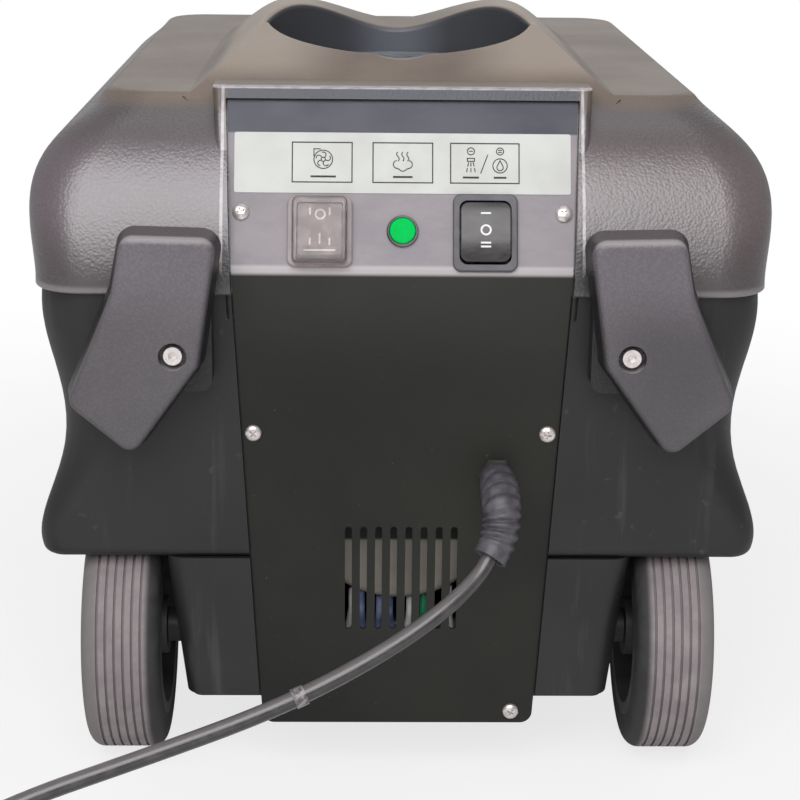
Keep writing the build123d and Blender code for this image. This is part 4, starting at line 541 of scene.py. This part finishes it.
def panel_paint(place, facing):
    height = part(place, "Z")
    leaning = fade(height, BEND_HEIGHT + 0.0008, BEND_HEIGHT + 0.003)
    fold = band(height, BEND_HEIGHT, BEND_HEIGHT + 0.002, 0.002)
    cloud, speck = noise(place, 11, 4), noise(place, 420, 2)
    smear = noise(stretch(place, 30, 60, 60), 1, 4, 0.6)
    lower = blend(fade(cloud, 0.3, 0.7), rgb(30, 31, 29), rgb(42, 42, 38))
    lower = blend(fade(speck, 0.7, 0.8) * 0.5, lower, rgb(96, 92, 86))
    lower = blend(fade(height, 0.2, BEND_HEIGHT) * 0.35, lower, rgb(66, 65, 63))
    # The leaning face is painted paler as painted light.
    upper = blend(fade(smear, 0.3, 0.7), rgb(134, 128, 134), rgb(152, 145, 150))
    upper = blend(fade(noise(place, 60, 3), 0.68, 0.78) * 0.5, upper, rgb(104, 99, 103))
    # Painted shade on the strip above the label.
    strip = blend(fade(cloud, 0.3, 0.7), rgb(60, 61, 74), rgb(73, 73, 85))
    upper = blend(fade(height, STRIP_HEIGHT - 0.0005, STRIP_HEIGHT + 0.0005), upper, strip)
    # Painted highlight along the fold.
    colour = blend(fold * 0.8, blend(leaning, lower, upper), rgb(196, 189, 192))
    rough = blend(leaning, fade(cloud, 0.3, 0.7, 0.42, 0.55), fade(smear, 0.3, 0.7, 0.3, 0.42))
    return {"Base Color": colour, "Roughness": rough, "Normal": bump(noise(place, 700, 2), 0.00006, 0.6)}


dress(finish("panel_enamel", panel_paint, Specular_IOR_Level=0.35), "rear_panel", "base_tray")


def label_paint(place, facing):
    soil = noise(place, 45, 5, 0.6)
    return {"Base Color": blend(fade(soil, 0.35, 0.75), rgb(202, 204, 200), rgb(196, 197, 193)),
            "Roughness": fade(soil, 0.3, 0.7, 0.3, 0.42),
            "Normal": bump(noise(place, 300, 2), 0.00004, 0.4)}


dress(finish("label_film", label_paint), "label_plate")


def worn_print(fresh, worn, scale, start, rough):
    """A paint of printed ink with worn spots."""
    def paint(place, facing):
        spots = noise(place, scale, 3)
        return {"Base Color": blend(fade(spots, start, 0.8) * 0.5, fresh, worn),
                "Roughness": fade(spots, 0.3, 0.7, *rough)}
    return paint


ink = finish("label_ink", worn_print(rgb(24, 24, 26), rgb(90, 90, 90), 900, 0.62, (0.4, 0.6)))
white_mark = finish("white_mark", worn_print(rgb(240, 238, 238), rgb(190, 186, 188), 1200, 0.6, (0.4, 0.55)))
print("panel, label and inks finished")

# %% Slope of the panel
MM = 0.001
LEAN = math.radians(22)
PANEL_BACK = -0.214
ACROSS = Vector((1, 0, 0))
UP_SLOPE = Vector((0, math.sin(LEAN), math.cos(LEAN)))
OUT_OF_SLOPE = Vector((0, -math.cos(LEAN), math.sin(LEAN)))


def on_slope(x, up):
    """A point of the leaning panel, so many millimetres across and up from the bend."""
    return Vector((x * MM, PANEL_BACK, BEND_HEIGHT)) + UP_SLOPE * up * MM


def skin_rings(bm, rings, closed=False):
    """Faces between neighbouring rings of vertices; an open run gets a cap at each end."""
    for first, second in zip(rings, rings[1:] + ([rings[0]] if closed else [])):
        for k in range(len(first)):
            n = (k + 1) % len(first)
            bm.faces.new([first[k], first[n], second[n], second[k]])
    if not closed:
        bm.faces.new(rings[0][::-1])
        bm.faces.new(rings[-1])


def add_piece(name, bm, body, material, smooth=False):
    """Turns a finished bmesh into a piece that rides on a body."""
    bmesh.ops.recalc_face_normals(bm, faces=bm.faces)
    mesh = bpy.data.meshes.new(name)
    bm.to_mesh(mesh)
    bm.free()
    mesh.materials.append(material)
    for face in mesh.polygons:
        face.use_smooth = smooth
    piece = bpy.data.objects.new(name, mesh)
    scene.collection.objects.link(piece)
    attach(piece, body)
    print(name, len(mesh.polygons), "faces")
    return piece


print("panel leans", round(math.degrees(LEAN)), "degrees")

# %% Ribbons on a face
INK_SUNK, INK_RAISED = 0.05, 0.12
DROP_FROM = 30
SHARPEST_MITRE = 0.4


def ribbon_corners(line, width, closed):
    """Both edges of a flat line of one width, with mitred corners."""
    spots = [Vector(p) for p in line]
    count = len(spots)
    left, right = [], []
    for i, spot in enumerate(spots):
        before = spots[i - 1] if closed or i else None
        after = spots[(i + 1) % count] if closed or i < count - 1 else None
        legs = [(before, spot), (spot, after)]
        ways = [(b - a).normalized() for a, b in legs if a is not None and b is not None]
        normals = [Vector((-w.y, w.x)) for w in ways]
        aim = sum(normals, Vector((0, 0))).normalized()
        reach = width / 2 / max(SHARPEST_MITRE, aim.dot(normals[0]))
        left.append(spot + aim * reach)
        right.append(spot - aim * reach)
    return left, right


def print_lines(name, node, middle, lines, width, body, material):
    """Raised ink on a node: each line is (points, closed), in millimetres across and up from the middle."""
    solid = nodes[node].data
    tree = BVHTree.FromPolygons([v.co for v in solid.vertices], [p.vertices for p in solid.polygons])

    def drop(spot):
        above = middle + ACROSS * spot.x * MM + UP_SLOPE * spot.y * MM + OUT_OF_SLOPE * DROP_FROM * MM
        return tree.ray_cast(above, -OUT_OF_SLOPE)[0]

    bm = bmesh.new()
    for line, closed in lines:
        rows = []
        for a, b in zip(*ribbon_corners(line, width, closed)):
            feet = [drop(a), drop(b)]
            sunk = [p - OUT_OF_SLOPE * INK_SUNK * MM for p in feet]
            raised = [p + OUT_OF_SLOPE * INK_RAISED * MM for p in feet]
            rows.append([bm.verts.new(p) for p in (sunk[0], sunk[1], raised[1], raised[0])])
        skin_rings(bm, rows, closed)
    return add_piece(name, bm, body, material)


print("ink stands", INK_RAISED, "mm proud")


# %% Frames on the label
def arc(x, y, radius, start=0, end=360, steps=32):
    angles = [math.radians(start + (end - start) * i / steps) for i in range(steps + 1)]
    return [(x + radius * math.cos(a), y + radius * math.sin(a)) for a in angles]


def ring(x, y, radius, steps=32):
    return arc(x, y, radius, 0, 360, steps)[:-1], True


def bar(*points):
    return list(points), False


def frame_line(x, half_width, low, high):
    left, right = x - half_width, x + half_width
    return [(left, low), (right, low), (right, high), (left, high)], True


LABEL_MIDDLE = on_slope(0, 52.5)
FRAME_LOW, FRAME_HIGH = -9.3, 9.75
FRAME_INK, PICTOGRAM_INK, RULE_INK = 0.55, 0.45, 0.9
FRAMES = [(-38.1, 14.1), (0, 14.1), (38.8, 16.2)]
outlines = [frame_line(x, half_width, FRAME_LOW, FRAME_HIGH) for x, half_width in FRAMES]
print_lines("label_frames", "label_plate", LABEL_MIDDLE, outlines, FRAME_INK, "machine", ink)

# %% Pictograms on the label
FAN_X, FAN_Y, FAN_RADIUS = -37.6, 1.6, 4.4
BLADE_REACH, BLADE_RADIUS = 2.2, 1.3
fan = [ring(FAN_X, FAN_Y, FAN_RADIUS), ring(FAN_X, FAN_Y, 1.0, 16)]
for turn in (90, 162, 234, 306, 18):
    swing = math.radians(turn)
    blade_x, blade_y = FAN_X + BLADE_REACH * math.cos(swing), FAN_Y + BLADE_REACH * math.sin(swing)
    fan.append((arc(blade_x, blade_y, BLADE_RADIUS, turn - 150, turn + 30, 10), False))
outlet = FAN_X - FAN_RADIUS
fan += [bar((outlet, FAN_Y + 1.4), (outlet, FAN_Y + 5.2)),
        bar((outlet - 0.3, FAN_Y + 5.0), (FAN_X - 1.2, FAN_Y + 5.0))]

PUFF_Y = -0.6
puff = arc(-2.6, PUFF_Y, 1.9, 100, 270, 10) + arc(0, PUFF_Y - 1.2, 2.0, 215, 325, 8)
puff += arc(2.6, PUFF_Y, 1.9, 270, 440, 10)
steam = [(puff, False)]
for x in (-2.2, 0, 2.2):
    shares = [k / 10 for k in range(11)]
    wisp = [(x + 0.55 * math.sin(s * 2 * math.pi) + 0.12 * x * s, PUFF_Y + 1.6 + 4.4 * s) for s in shares]
    steam.append((wisp, False))

NOZZLE_X, PUMP_X, SIGN_Y = 32.2, 46.0, 6.0
SIGN_RADIUS, SIGN_HALF = 1.7, 0.9
spray = [ring(NOZZLE_X, SIGN_Y, SIGN_RADIUS, 20),
         bar((NOZZLE_X - SIGN_HALF, SIGN_Y), (NOZZLE_X + SIGN_HALF, SIGN_Y)),
         ring(PUMP_X, SIGN_Y, SIGN_RADIUS, 20)]
spray += [bar((PUMP_X - SIGN_HALF, y), (PUMP_X + SIGN_HALF, y)) for y in (SIGN_Y + 0.5, SIGN_Y - 0.5)]
spray += [bar((36.8, -4.6), (40.2, 4.4)), frame_line(NOZZLE_X, 1.7, 1.2, 2.6)]
for x in (-1, 0, 1):
    spray += [bar((NOZZLE_X + x * 1.1, 0.7), (NOZZLE_X + x * 1.5, -1.3)),
              bar((NOZZLE_X + x * 1.65, -2.1), (NOZZLE_X + x * 2.05, -4.0))]
drop_line = arc(PUMP_X, -1.7, 1.5, 150, 390, 14) + [(PUMP_X, 1.6)]
spray += [ring(PUMP_X, -0.9, 3.4), (drop_line, True)]

RULE_Y = -6.6
rules = [bar((left, RULE_Y), (right, RULE_Y))
         for left, right in [(-43.6, -31.6), (-4.6, 4.6), (28.4, 36.0), (43.0, 49.0)]]
print_lines("label_pictograms", "label_plate", LABEL_MIDDLE, fan + steam + spray, PICTOGRAM_INK, "machine",
            ink)
print_lines("label_rules", "label_plate", LABEL_MIDDLE, rules, RULE_INK, "machine", ink)

# %% [markdown]
# ## Switches
# Both rockers carry the usual marks: a ring for off and a line for on. The left switch is under a clear
# splash cover, the right one is glossy black with three places. The marks are the same ribbons as on the
# label, but they ride on the rockers and follow their hollow or crowned faces.

# %% Marks on the rockers
SWITCH_ACROSS, SWITCH_UP = 39, 19.3
VACUUM_INK, PUMP_INK = 0.8, 0.85
MARK_HALF = 2.4
vacuum_marks = [ring(0.2, 8.2, 2.2), bar((0, -1.0), (0, -6.2)), bar((-7.4, -9.4), (7.4, -9.4))]
vacuum_marks += [bar((x, y), (x, y - 3.6)) for x in (-4.6, 4.6) for y in (11.4, -3.2)]
pump_marks = [bar((-MARK_HALF, 8.7), (MARK_HALF, 8.7)), ring(0, 0.6, 2.2)]
pump_marks += [bar((-MARK_HALF, y), (MARK_HALF, y)) for y in (-5.4, -7.2)]
print_lines("vacuum_rocker_marks", "vacuum_rocker", on_slope(-SWITCH_ACROSS, SWITCH_UP), vacuum_marks,
            VACUUM_INK, "vacuum_rocker", white_mark)
print_lines("pump_rocker_marks", "pump_rocker", on_slope(SWITCH_ACROSS, SWITCH_UP), pump_marks,
            PUMP_INK, "pump_rocker", white_mark)


# %% Switch finishes
def mottled(dark, light, scale, rough, grain, depth, detail=4, until=0.7, grain_detail=3, strength=0.6,
            **fixed):
    """A paint of two near colours in soft patches, with a fine grain."""
    def paint(place, facing):
        patch = noise(place, scale, detail)
        return {"Base Color": blend(fade(patch, 0.3, 0.7), dark, light),
                "Roughness": fade(patch, 0.3, until, *rough),
                "Normal": bump(noise(place, grain, grain_detail), depth, strength), **fixed}
    return paint


def switch_paint(place, facing):
    """Pale on the left switch, nearly black round the button, grey on the right switch."""
    across, mottle = part(place, "X"), noise(place, 130, 4)
    right = fade(across, -0.01, 0.01)
    middle = fade(across, -0.014, -0.012) * (1 - right)
    colour = blend(right, blend(middle, rgb(158, 147, 150), rgb(26, 26, 27)), rgb(86, 84, 90))
    colour = blend(fade(mottle, 0.4, 0.75) * 0.3, colour, rgb(96, 90, 92))
    return {"Base Color": colour, "Roughness": fade(mottle, 0.3, 0.7, 0.34, 0.48),
            "Normal": bump(noise(place, 900, 2), 0.00008, 0.5)}


dress(finish("switch_moulding", switch_paint),
      "vacuum_switch_frame", "pump_switch_frame", "steam_button_ring")
grey_rocker = mottled(rgb(116, 107, 109), rgb(136, 126, 128), 220, (0.3, 0.45), 900, 0.00006,
                      grain_detail=2, strength=0.4)
dress(finish("grey_rocker", grey_rocker), "vacuum_rocker")


def black_rocker_paint(place, facing):
    smear = noise(stretch(place, 120, 260, 260), 1, 4)
    return {"Base Color": blend(fade(smear, 0.35, 0.7), rgb(56, 53, 55), rgb(70, 66, 68)),
            "Roughness": fade(smear, 0.35, 0.7, 0.26, 0.4),
            "Normal": bump(noise(place, 600, 2), 0.00003, 0.3)}


dress(finish("black_rocker", black_rocker_paint, Coat_Weight=0.3, Coat_Roughness=0.16), "pump_rocker")
splash_cover = mottled((0.88, 0.83, 0.83, 1), (0.78, 0.73, 0.73, 1), 150, (0.08, 0.22), 260, 0.00008,
                       until=0.75, grain_detail=2, strength=0.4)
dress(finish("splash_cover", splash_cover, Transmission_Weight=0.95, IOR=1.3), "vacuum_switch_cover")
green_button = mottled(rgb(1, 192, 84), rgb(2, 204, 92), 260, (0.35, 0.5), 800, 0.00005,
                       detail=3, grain_detail=2, strength=0.4)
dress(finish("green_button", green_button, Specular_IOR_Level=0.04), "steam_button")
print("switches finished")

# %% [markdown]
# ## Ribbed sleeve
# A corrugated rubber sleeve keeps the cord from kinking where it leaves the gland. Its ribs run in a
# spiral, it tapers, and its open end is flared. A plain bevelled curve has no ribs, so rings of points
# are set along a smooth line and their radius goes up and down with the turn and the distance.

# %% Sleeve shape
SLEEVE_LINE = [(0.047, -0.222, 0.160), (0.047, -0.250, 0.160), (0.047, -0.257, 0.1446), CORD_EXIT]
SLEEVE_SIDES, SLEEVE_STEPS = 40, 48
SLEEVE_RADIUS, SLEEVE_TAPER = 8.7, 0.6
RIBS, RIB_HEIGHT, FLARE = 8.5, 1.5, 0.4
MOUTH = [(0, 6.3), (0.0045, 5.4)]


def line_points(points):
    """Points along the smooth line of some control points."""
    line = smooth_line("guide", points)
    line.data.resolution_u = SLEEVE_STEPS
    mesh = bpy.data.meshes.new_from_object(line)
    spots = [v.co.copy() for v in mesh.vertices]
    bpy.data.objects.remove(line)
    bpy.data.meshes.remove(mesh)
    return spots


def sleeve_radius(share, turn):
    """Radius in millimetres: a spiral rib on a tapering sleeve, with a smooth collar and a flared lip."""
    wave = 0.5 + 0.5 * math.cos(2 * math.pi * (RIBS * share - turn))
    ribbed = min(1, share / 0.12) * min(1, max(0, (0.9 - share) / 0.08))
    flare = max(0, (share - 0.88) / 0.12)
    rib = ribbed * RIB_HEIGHT * (wave ** 0.8 - 0.5)
    return SLEEVE_RADIUS - SLEEVE_TAPER * share + rib + FLARE * flare**2


def ring_of_verts(bm, middle, side, top, sides, radius):
    """Vertices round a middle; radius gives millimetres for a turn from 0 to 1."""
    verts = []
    for k in range(sides):
        angle = 2 * math.pi * k / sides
        aim = side * math.cos(angle) + top * math.sin(angle)
        verts.append(bm.verts.new(middle + aim * radius(k / sides) * MM))
    return verts


spots = line_points(SLEEVE_LINE)
last = len(spots) - 1
bm = bmesh.new()
rings = []
for i, spot in enumerate(spots):
    way = (spots[min(i + 1, last)] - spots[max(i - 1, 0)]).normalized()
    side = (ACROSS - way * way.x).normalized()
    top = way.cross(side)
    rings.append(ring_of_verts(bm, spot, side, top, SLEEVE_SIDES, lambda turn: sleeve_radius(i / last, turn)))
for depth, reach in MOUTH:
    rings.append(ring_of_verts(bm, spots[last] - way * depth, side, top, SLEEVE_SIDES, lambda turn: reach))
skin_rings(bm, rings)

sleeve_paint = mottled(rgb(74, 71, 77), rgb(96, 92, 99), 210, (0.34, 0.5), 900, 0.00012)
sleeve_rubber = finish("sleeve_rubber_grey", sleeve_paint)
sleeve = add_piece("ribbed_sleeve", bm, "machine", sleeve_rubber, smooth=True)
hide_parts("bend_sleeve")

# %% Gland and cord finish
gland_paint = mottled(rgb(66, 64, 66), rgb(90, 87, 88), 240, (0.34, 0.46), 800, 0.0001,
                      grain_detail=2, strength=0.5)
dress(finish("gland_nylon", gland_paint), "cord_gland", "gland_lock_nut")


def cord_paint(place, facing):
    """Dusty black rubber, with a painted highlight on top and painted shade underneath."""
    dusty, faces_up = noise(place, 120, 5, 0.6), part(facing, "Z")
    colour = blend(fade(dusty, 0.35, 0.7), rgb(52, 49, 50), rgb(74, 70, 71))
    # Painted highlight on the top and painted shade underneath.
    colour = blend(fade(faces_up, 0.3, 0.9) * 0.6, colour, rgb(126, 121, 122))
    colour = blend(fade(faces_up, 0.2, -0.4) * 0.7, colour, rgb(26, 25, 25))
    return {"Base Color": colour, "Roughness": fade(dusty, 0.3, 0.7, 0.28, 0.42),
            "Normal": bump(noise(place, 500, 3), 0.00012, 0.5)}


cord_rubber = finish("cord_rubber_black", cord_paint, Coat_Weight=0.8, Coat_Roughness=0.26)
cord.data.materials.append(cord_rubber)
print("gland and cord finished")

# %% [markdown]
# ## Screws
# The panel is held by domed screws with a cross recess. The solids have plain domes, so each head is
# turned again here from a profile, and a tapered cross is cut out of it, because the recess is what
# catches the light.

# %% Turned heads and crosses
HEAD_SIDES, DOME_STEPS = 28, 9
CROSS_FOOT, CROSS_MOUTH = 0.55, 1.1


def turned(bm, profile, base, axis):
    """A closed solid turned from (radius, height) pairs in millimetres round an axis."""
    axis = axis.normalized()
    side = axis.orthogonal().normalized()
    top = axis.cross(side)
    skin_rings(bm, [ring_of_verts(bm, base + axis * height * MM, side, top, HEAD_SIDES, lambda turn: radius)
                    for radius, height in profile])


def cross_cut(bm, base, axis, up, spin, low, high, reach, half):
    """A tapered plus sign, from low to high above the base."""
    axis, up = axis.normalized(), (up - axis * up.dot(axis)).normalized()
    side = up.cross(axis)
    c, s = math.cos(spin), math.sin(spin)
    plus = [(half, half), (reach, half), (reach, -half), (half, -half), (half, -reach), (-half, -reach),
            (-half, -half), (-reach, -half), (-reach, half), (-half, half), (-half, reach), (half, reach)]
    rows = []
    for height, grow in [(low, CROSS_FOOT), (high, CROSS_MOUTH)]:
        row = []
        for x, y in plus:
            x, y = x * grow * c - y * grow * s, x * grow * s + y * grow * c
            row.append(bm.verts.new(base + axis * height * MM + (side * x + up * y) * MM))
        rows.append(row)
    skin_rings(bm, rows)


print("heads with", HEAD_SIDES, "sides")

# %% Screw heads
HEAD_RADIUS, HEAD_HEIGHT, HEAD_CROWN = 4.0, 2.6, 1.8
RECESS_DEPTH, RECESS_OVER = 1.7, 0.6
RECESS_REACH, RECESS_HALF = HEAD_RADIUS * 0.52, HEAD_RADIUS * 0.11


def screw_heads(name, node, heads, material):
    """Domed heads with cross recesses in place of a node; each head is (spot, axis, up, spin)."""
    angles = [math.pi / 2 * k / DOME_STEPS for k in range(DOME_STEPS)]
    dome = [(HEAD_RADIUS * math.cos(a), HEAD_HEIGHT - HEAD_CROWN + HEAD_CROWN * math.sin(a)) for a in angles]
    profile = [(HEAD_RADIUS * 0.96, -0.2), (HEAD_RADIUS, 0.1)] + dome + [(HEAD_RADIUS * 0.05, HEAD_HEIGHT)]
    heads_bm, cuts_bm = bmesh.new(), bmesh.new()
    for spot, axis, up, spin in heads:
        turned(heads_bm, profile, spot, axis)
        cross_cut(cuts_bm, spot, axis, up, spin, HEAD_HEIGHT - RECESS_DEPTH, HEAD_HEIGHT + RECESS_OVER,
                  RECESS_REACH, RECESS_HALF)
    bmesh.ops.recalc_face_normals(cuts_bm, faces=cuts_bm.faces)
    cuts_mesh = bpy.data.meshes.new("cuts")
    cuts_bm.to_mesh(cuts_mesh)
    cuts_bm.free()
    cuts = bpy.data.objects.new("cuts", cuts_mesh)
    scene.collection.objects.link(cuts)
    piece = add_piece(name, heads_bm, "machine", material)
    cut = piece.modifiers.new("recess", "BOOLEAN")
    cut.operation, cut.solver, cut.object = "DIFFERENCE", "EXACT", cuts
    shaped = bpy.data.meshes.new_from_object(piece.evaluated_get(bpy.context.evaluated_depsgraph_get()))
    piece.modifiers.clear()
    piece.data = shaped
    bpy.data.objects.remove(cuts)
    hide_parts(node)
    print(name, "cut", len(shaped.polygons), "faces")


steel_paint = mottled(rgb(214, 205, 203), rgb(244, 238, 236), 320, (0.24, 0.4), 900, 0.00008,
                      strength=0.5, Metallic=0.75)
bright_steel = finish("bright_steel", steel_paint)
OUT_OF_WALL, UP = Vector((0, -1, 0)), Vector((0, 0, 1))
SLOPE_SCREW_ACROSS, SLOPE_SCREW_UP = 76.2, 28.7
WALL_SCREW_ACROSS, WALL_SCREW_HEIGHT = 0.0709, 0.181
FOOT_SCREW = Vector((0.057, PANEL_BACK, 0.0345))
panel_heads = []
for side, spin in ((-1, 0.35), (1, 0.9)):
    on_wall = Vector((side * WALL_SCREW_ACROSS, PANEL_BACK, WALL_SCREW_HEIGHT))
    panel_heads.append((on_slope(side * SLOPE_SCREW_ACROSS, SLOPE_SCREW_UP), OUT_OF_SLOPE, UP_SLOPE, spin))
    panel_heads.append((on_wall, OUT_OF_WALL, UP, spin + 0.5))
panel_heads.append((FOOT_SCREW, OUT_OF_WALL, UP, 1.1))
screw_heads("panel_screw_heads", "panel_screws", panel_heads, bright_steel)

# %% [markdown]
# ## Wheels, metal and the parts inside
# The tyres are grey ribbed rubber that has picked up floor dust, darker down in the grooves, with painted
# shade on the inner shoulder; the hubs are painted paler than black plastic as painted light. The metal parts
# are zinc plated or bare, and the parts behind the vent are plain but differ, so that something shows through
# the slots. Each plain finish is one row of a table: its name, two colours, the size of its patches, its
# roughness, the size and depth of its grain, how metallic it is, and who wears it.

# %% Tyre finish
AXLE_BACK, AXLE_HEIGHT = -0.170, 0.0625
TYRE_RADIUS, TYRE_MIDDLE = 0.0625, 0.137
SHOULDER = 0.0113, 0.012


def tyre_paint(place, facing):
    back, height = part(place, "Y") - AXLE_BACK, part(place, "Z") - AXLE_HEIGHT
    reach = (back * back + height * height) ** 0.5
    across = size_of(part(place, "X"))
    land = fade(reach, TYRE_RADIUS - 0.001, TYRE_RADIUS - 0.0003)
    land = land.math("MAXIMUM", land, fade(size_of(across - TYRE_MIDDLE), *SHOULDER))
    tread = fade(reach, TYRE_RADIUS - 0.007, TYRE_RADIUS - 0.004) * fade(across, 0.122, 0.126)
    dusty = noise(place, 75, 5, 0.62)
    # Darker sidewalls; on the inner shoulder this dark is painted shade.
    wall = blend(fade(dusty, 0.3, 0.7), rgb(46, 46, 47), rgb(62, 61, 61))
    groove = blend(fade(dusty, 0.3, 0.7), rgb(116, 108, 110), rgb(130, 122, 123))
    rib = blend(fade(dusty, 0.3, 0.72), rgb(132, 123, 126), rgb(152, 144, 145))
    rib = blend(fade(across, 0.147, 0.15) * 0.6, rib, rgb(112, 109, 108))
    colour = blend(tread, wall, blend(land, groove, rib))
    return {"Base Color": colour, "Roughness": fade(dusty, 0.3, 0.7, 0.6, 0.78),
            "Normal": bump(noise(place, 420, 4), 0.0003, 0.6)}


dress(finish("tyre_rubber", tyre_paint), "tyre_left", "tyre_right")
print("tyres finished")


# %% Running gear
def plain_finishes(table):
    """Mottled finishes from the rows of a table."""
    for name, dark, light, scale, rough, grain, depth, metallic, wearers in table:
        paint = mottled(rgb(*dark), rgb(*light), scale, rough, grain, depth, Metallic=metallic)
        dress(finish(name, paint), *wearers)
    print(len(table), "plain finishes")


plain_finishes([
    # The hubs are painted paler than black plastic as painted light.
    ("hub_plastic_black", (64, 64, 66), (84, 83, 84), 60, (0.4, 0.55), 500, 0.00015, 0,
     ["wheel_hub_left", "wheel_hub_right", "axle_caps"]),
    ("castor_rubber", (88, 86, 86), (112, 108, 107), 70, (0.5, 0.7), 420, 0.0002, 0,
     ["castor_wheel_left", "castor_wheel_right"]),
    ("zinc_plate", (158, 156, 154), (190, 188, 184), 90, (0.28, 0.44), 600, 0.0001, 0.9,
     ["castor_plates", "castor_fork_left", "castor_fork_right", "tray_screws", "castor_bolts",
      "motor_cradle"]),
    ("dull_steel", (88, 87, 87), (112, 110, 108), 80, (0.34, 0.5), 700, 0.0001, 0.9,
     ["wheel_axle", "castor_axle_left", "castor_axle_right"]),
    ("bush_nylon", (58, 57, 57), (76, 75, 74), 60, (0.4, 0.55), 500, 0.0001, 0, ["axle_bushes"]),
])
dress(bright_steel, "hook_bolts")

# %% Machinery, wires and fittings
MOTOR_SHADE = 0.1228


def motor_paint(place, facing):
    """Pale enamel, black above the height that the light reaches."""
    patch = noise(place, 40, 4)
    shade = fade(part(place, "Z"), MOTOR_SHADE - 0.001, MOTOR_SHADE + 0.001)
    colour = blend(fade(patch, 0.3, 0.7), rgb(138, 132, 123), rgb(160, 154, 145))
    return {"Base Color": blend(shade, colour, rgb(14, 14, 14)),
            "Roughness": fade(patch, 0.3, 0.7, 0.45, 0.6),
            "Normal": bump(noise(place, 300, 3), 0.0002, 0.6)}


dress(finish("motor_enamel", motor_paint), "motor_end_cap", "motor_body")
plain_finishes([
    ("fan_aluminium", (160, 160, 160), (186, 186, 185), 60, (0.35, 0.5), 500, 0.0002, 0.8,
     ["fan_housing", "heater_block"]),
    ("pump_plastic", (26, 26, 27), (40, 40, 41), 60, (0.4, 0.55), 400, 0.0002, 0, ["pump_unit"]),
    ("terminal_plastic", (196, 192, 184), (214, 210, 203), 60, (0.4, 0.5), 400, 0.0001, 0,
     ["terminal_block"]),
    ("wire_pvc_white", (244, 242, 243), (252, 251, 251), 90, (0.35, 0.5), 600, 0.0001, 0, ["wire_white"]),
    ("wire_pvc_blue", (92, 108, 160), (150, 162, 200), 150, (0.35, 0.5), 600, 0.0001, 0, ["wire_blue"]),
    ("wire_pvc_green", (30, 140, 96), (60, 168, 120), 90, (0.35, 0.5), 600, 0.0001, 0, ["wire_green"]),
    ("pipe_plastic", (96, 98, 100), (120, 121, 123), 50, (0.4, 0.52), 400, 0.0002, 0,
     ["suction_standpipe", "inlet_strainer", "hose_port"]),
    ("cap_plastic", (30, 30, 31), (46, 45, 45), 60, (0.38, 0.52), 400, 0.0002, 0,
     ["filler_cap", "drain_plug"]),
    ("seal_rubber_black", (28, 28, 29), (42, 41, 41), 80, (0.55, 0.7), 500, 0.0002, 0,
     ["lid_seal", "filler_gasket"]),
    ("coupler_brass_bare", (176, 142, 82), (200, 166, 104), 70, (0.26, 0.4), 600, 0.0001, 1.0,
     ["solution_coupler", "plug_pins"]),
    ("plug_rubber", (36, 35, 36), (54, 52, 53), 80, (0.4, 0.55), 500, 0.0002, 0, ["plug_body"]),
    ("tie_strap", (40, 40, 42), (58, 57, 60), 120, (0.5, 0.65), 700, 0.0002, 0, ["coil_tie"]),
    ("cord_tape", (86, 81, 83), (158, 151, 153), 420, (0.14, 0.34), 700, 0.0008, 0, ["cord_tape_ring"]),
])
lid_paint = mottled((0.86, 0.89, 0.92, 1), (0.7, 0.74, 0.78, 1), 60, (0.06, 0.2), 180, 0.0001,
                    until=0.75, grain_detail=2, strength=0.4)
dress(finish("lid_clear", lid_paint, Transmission_Weight=0.85, IOR=1.49), "recovery_lid")
print("finishes", len(finishes))

# %% [markdown]
# ## Last update of the scene

# %% Update
bpy.context.view_layer.update()
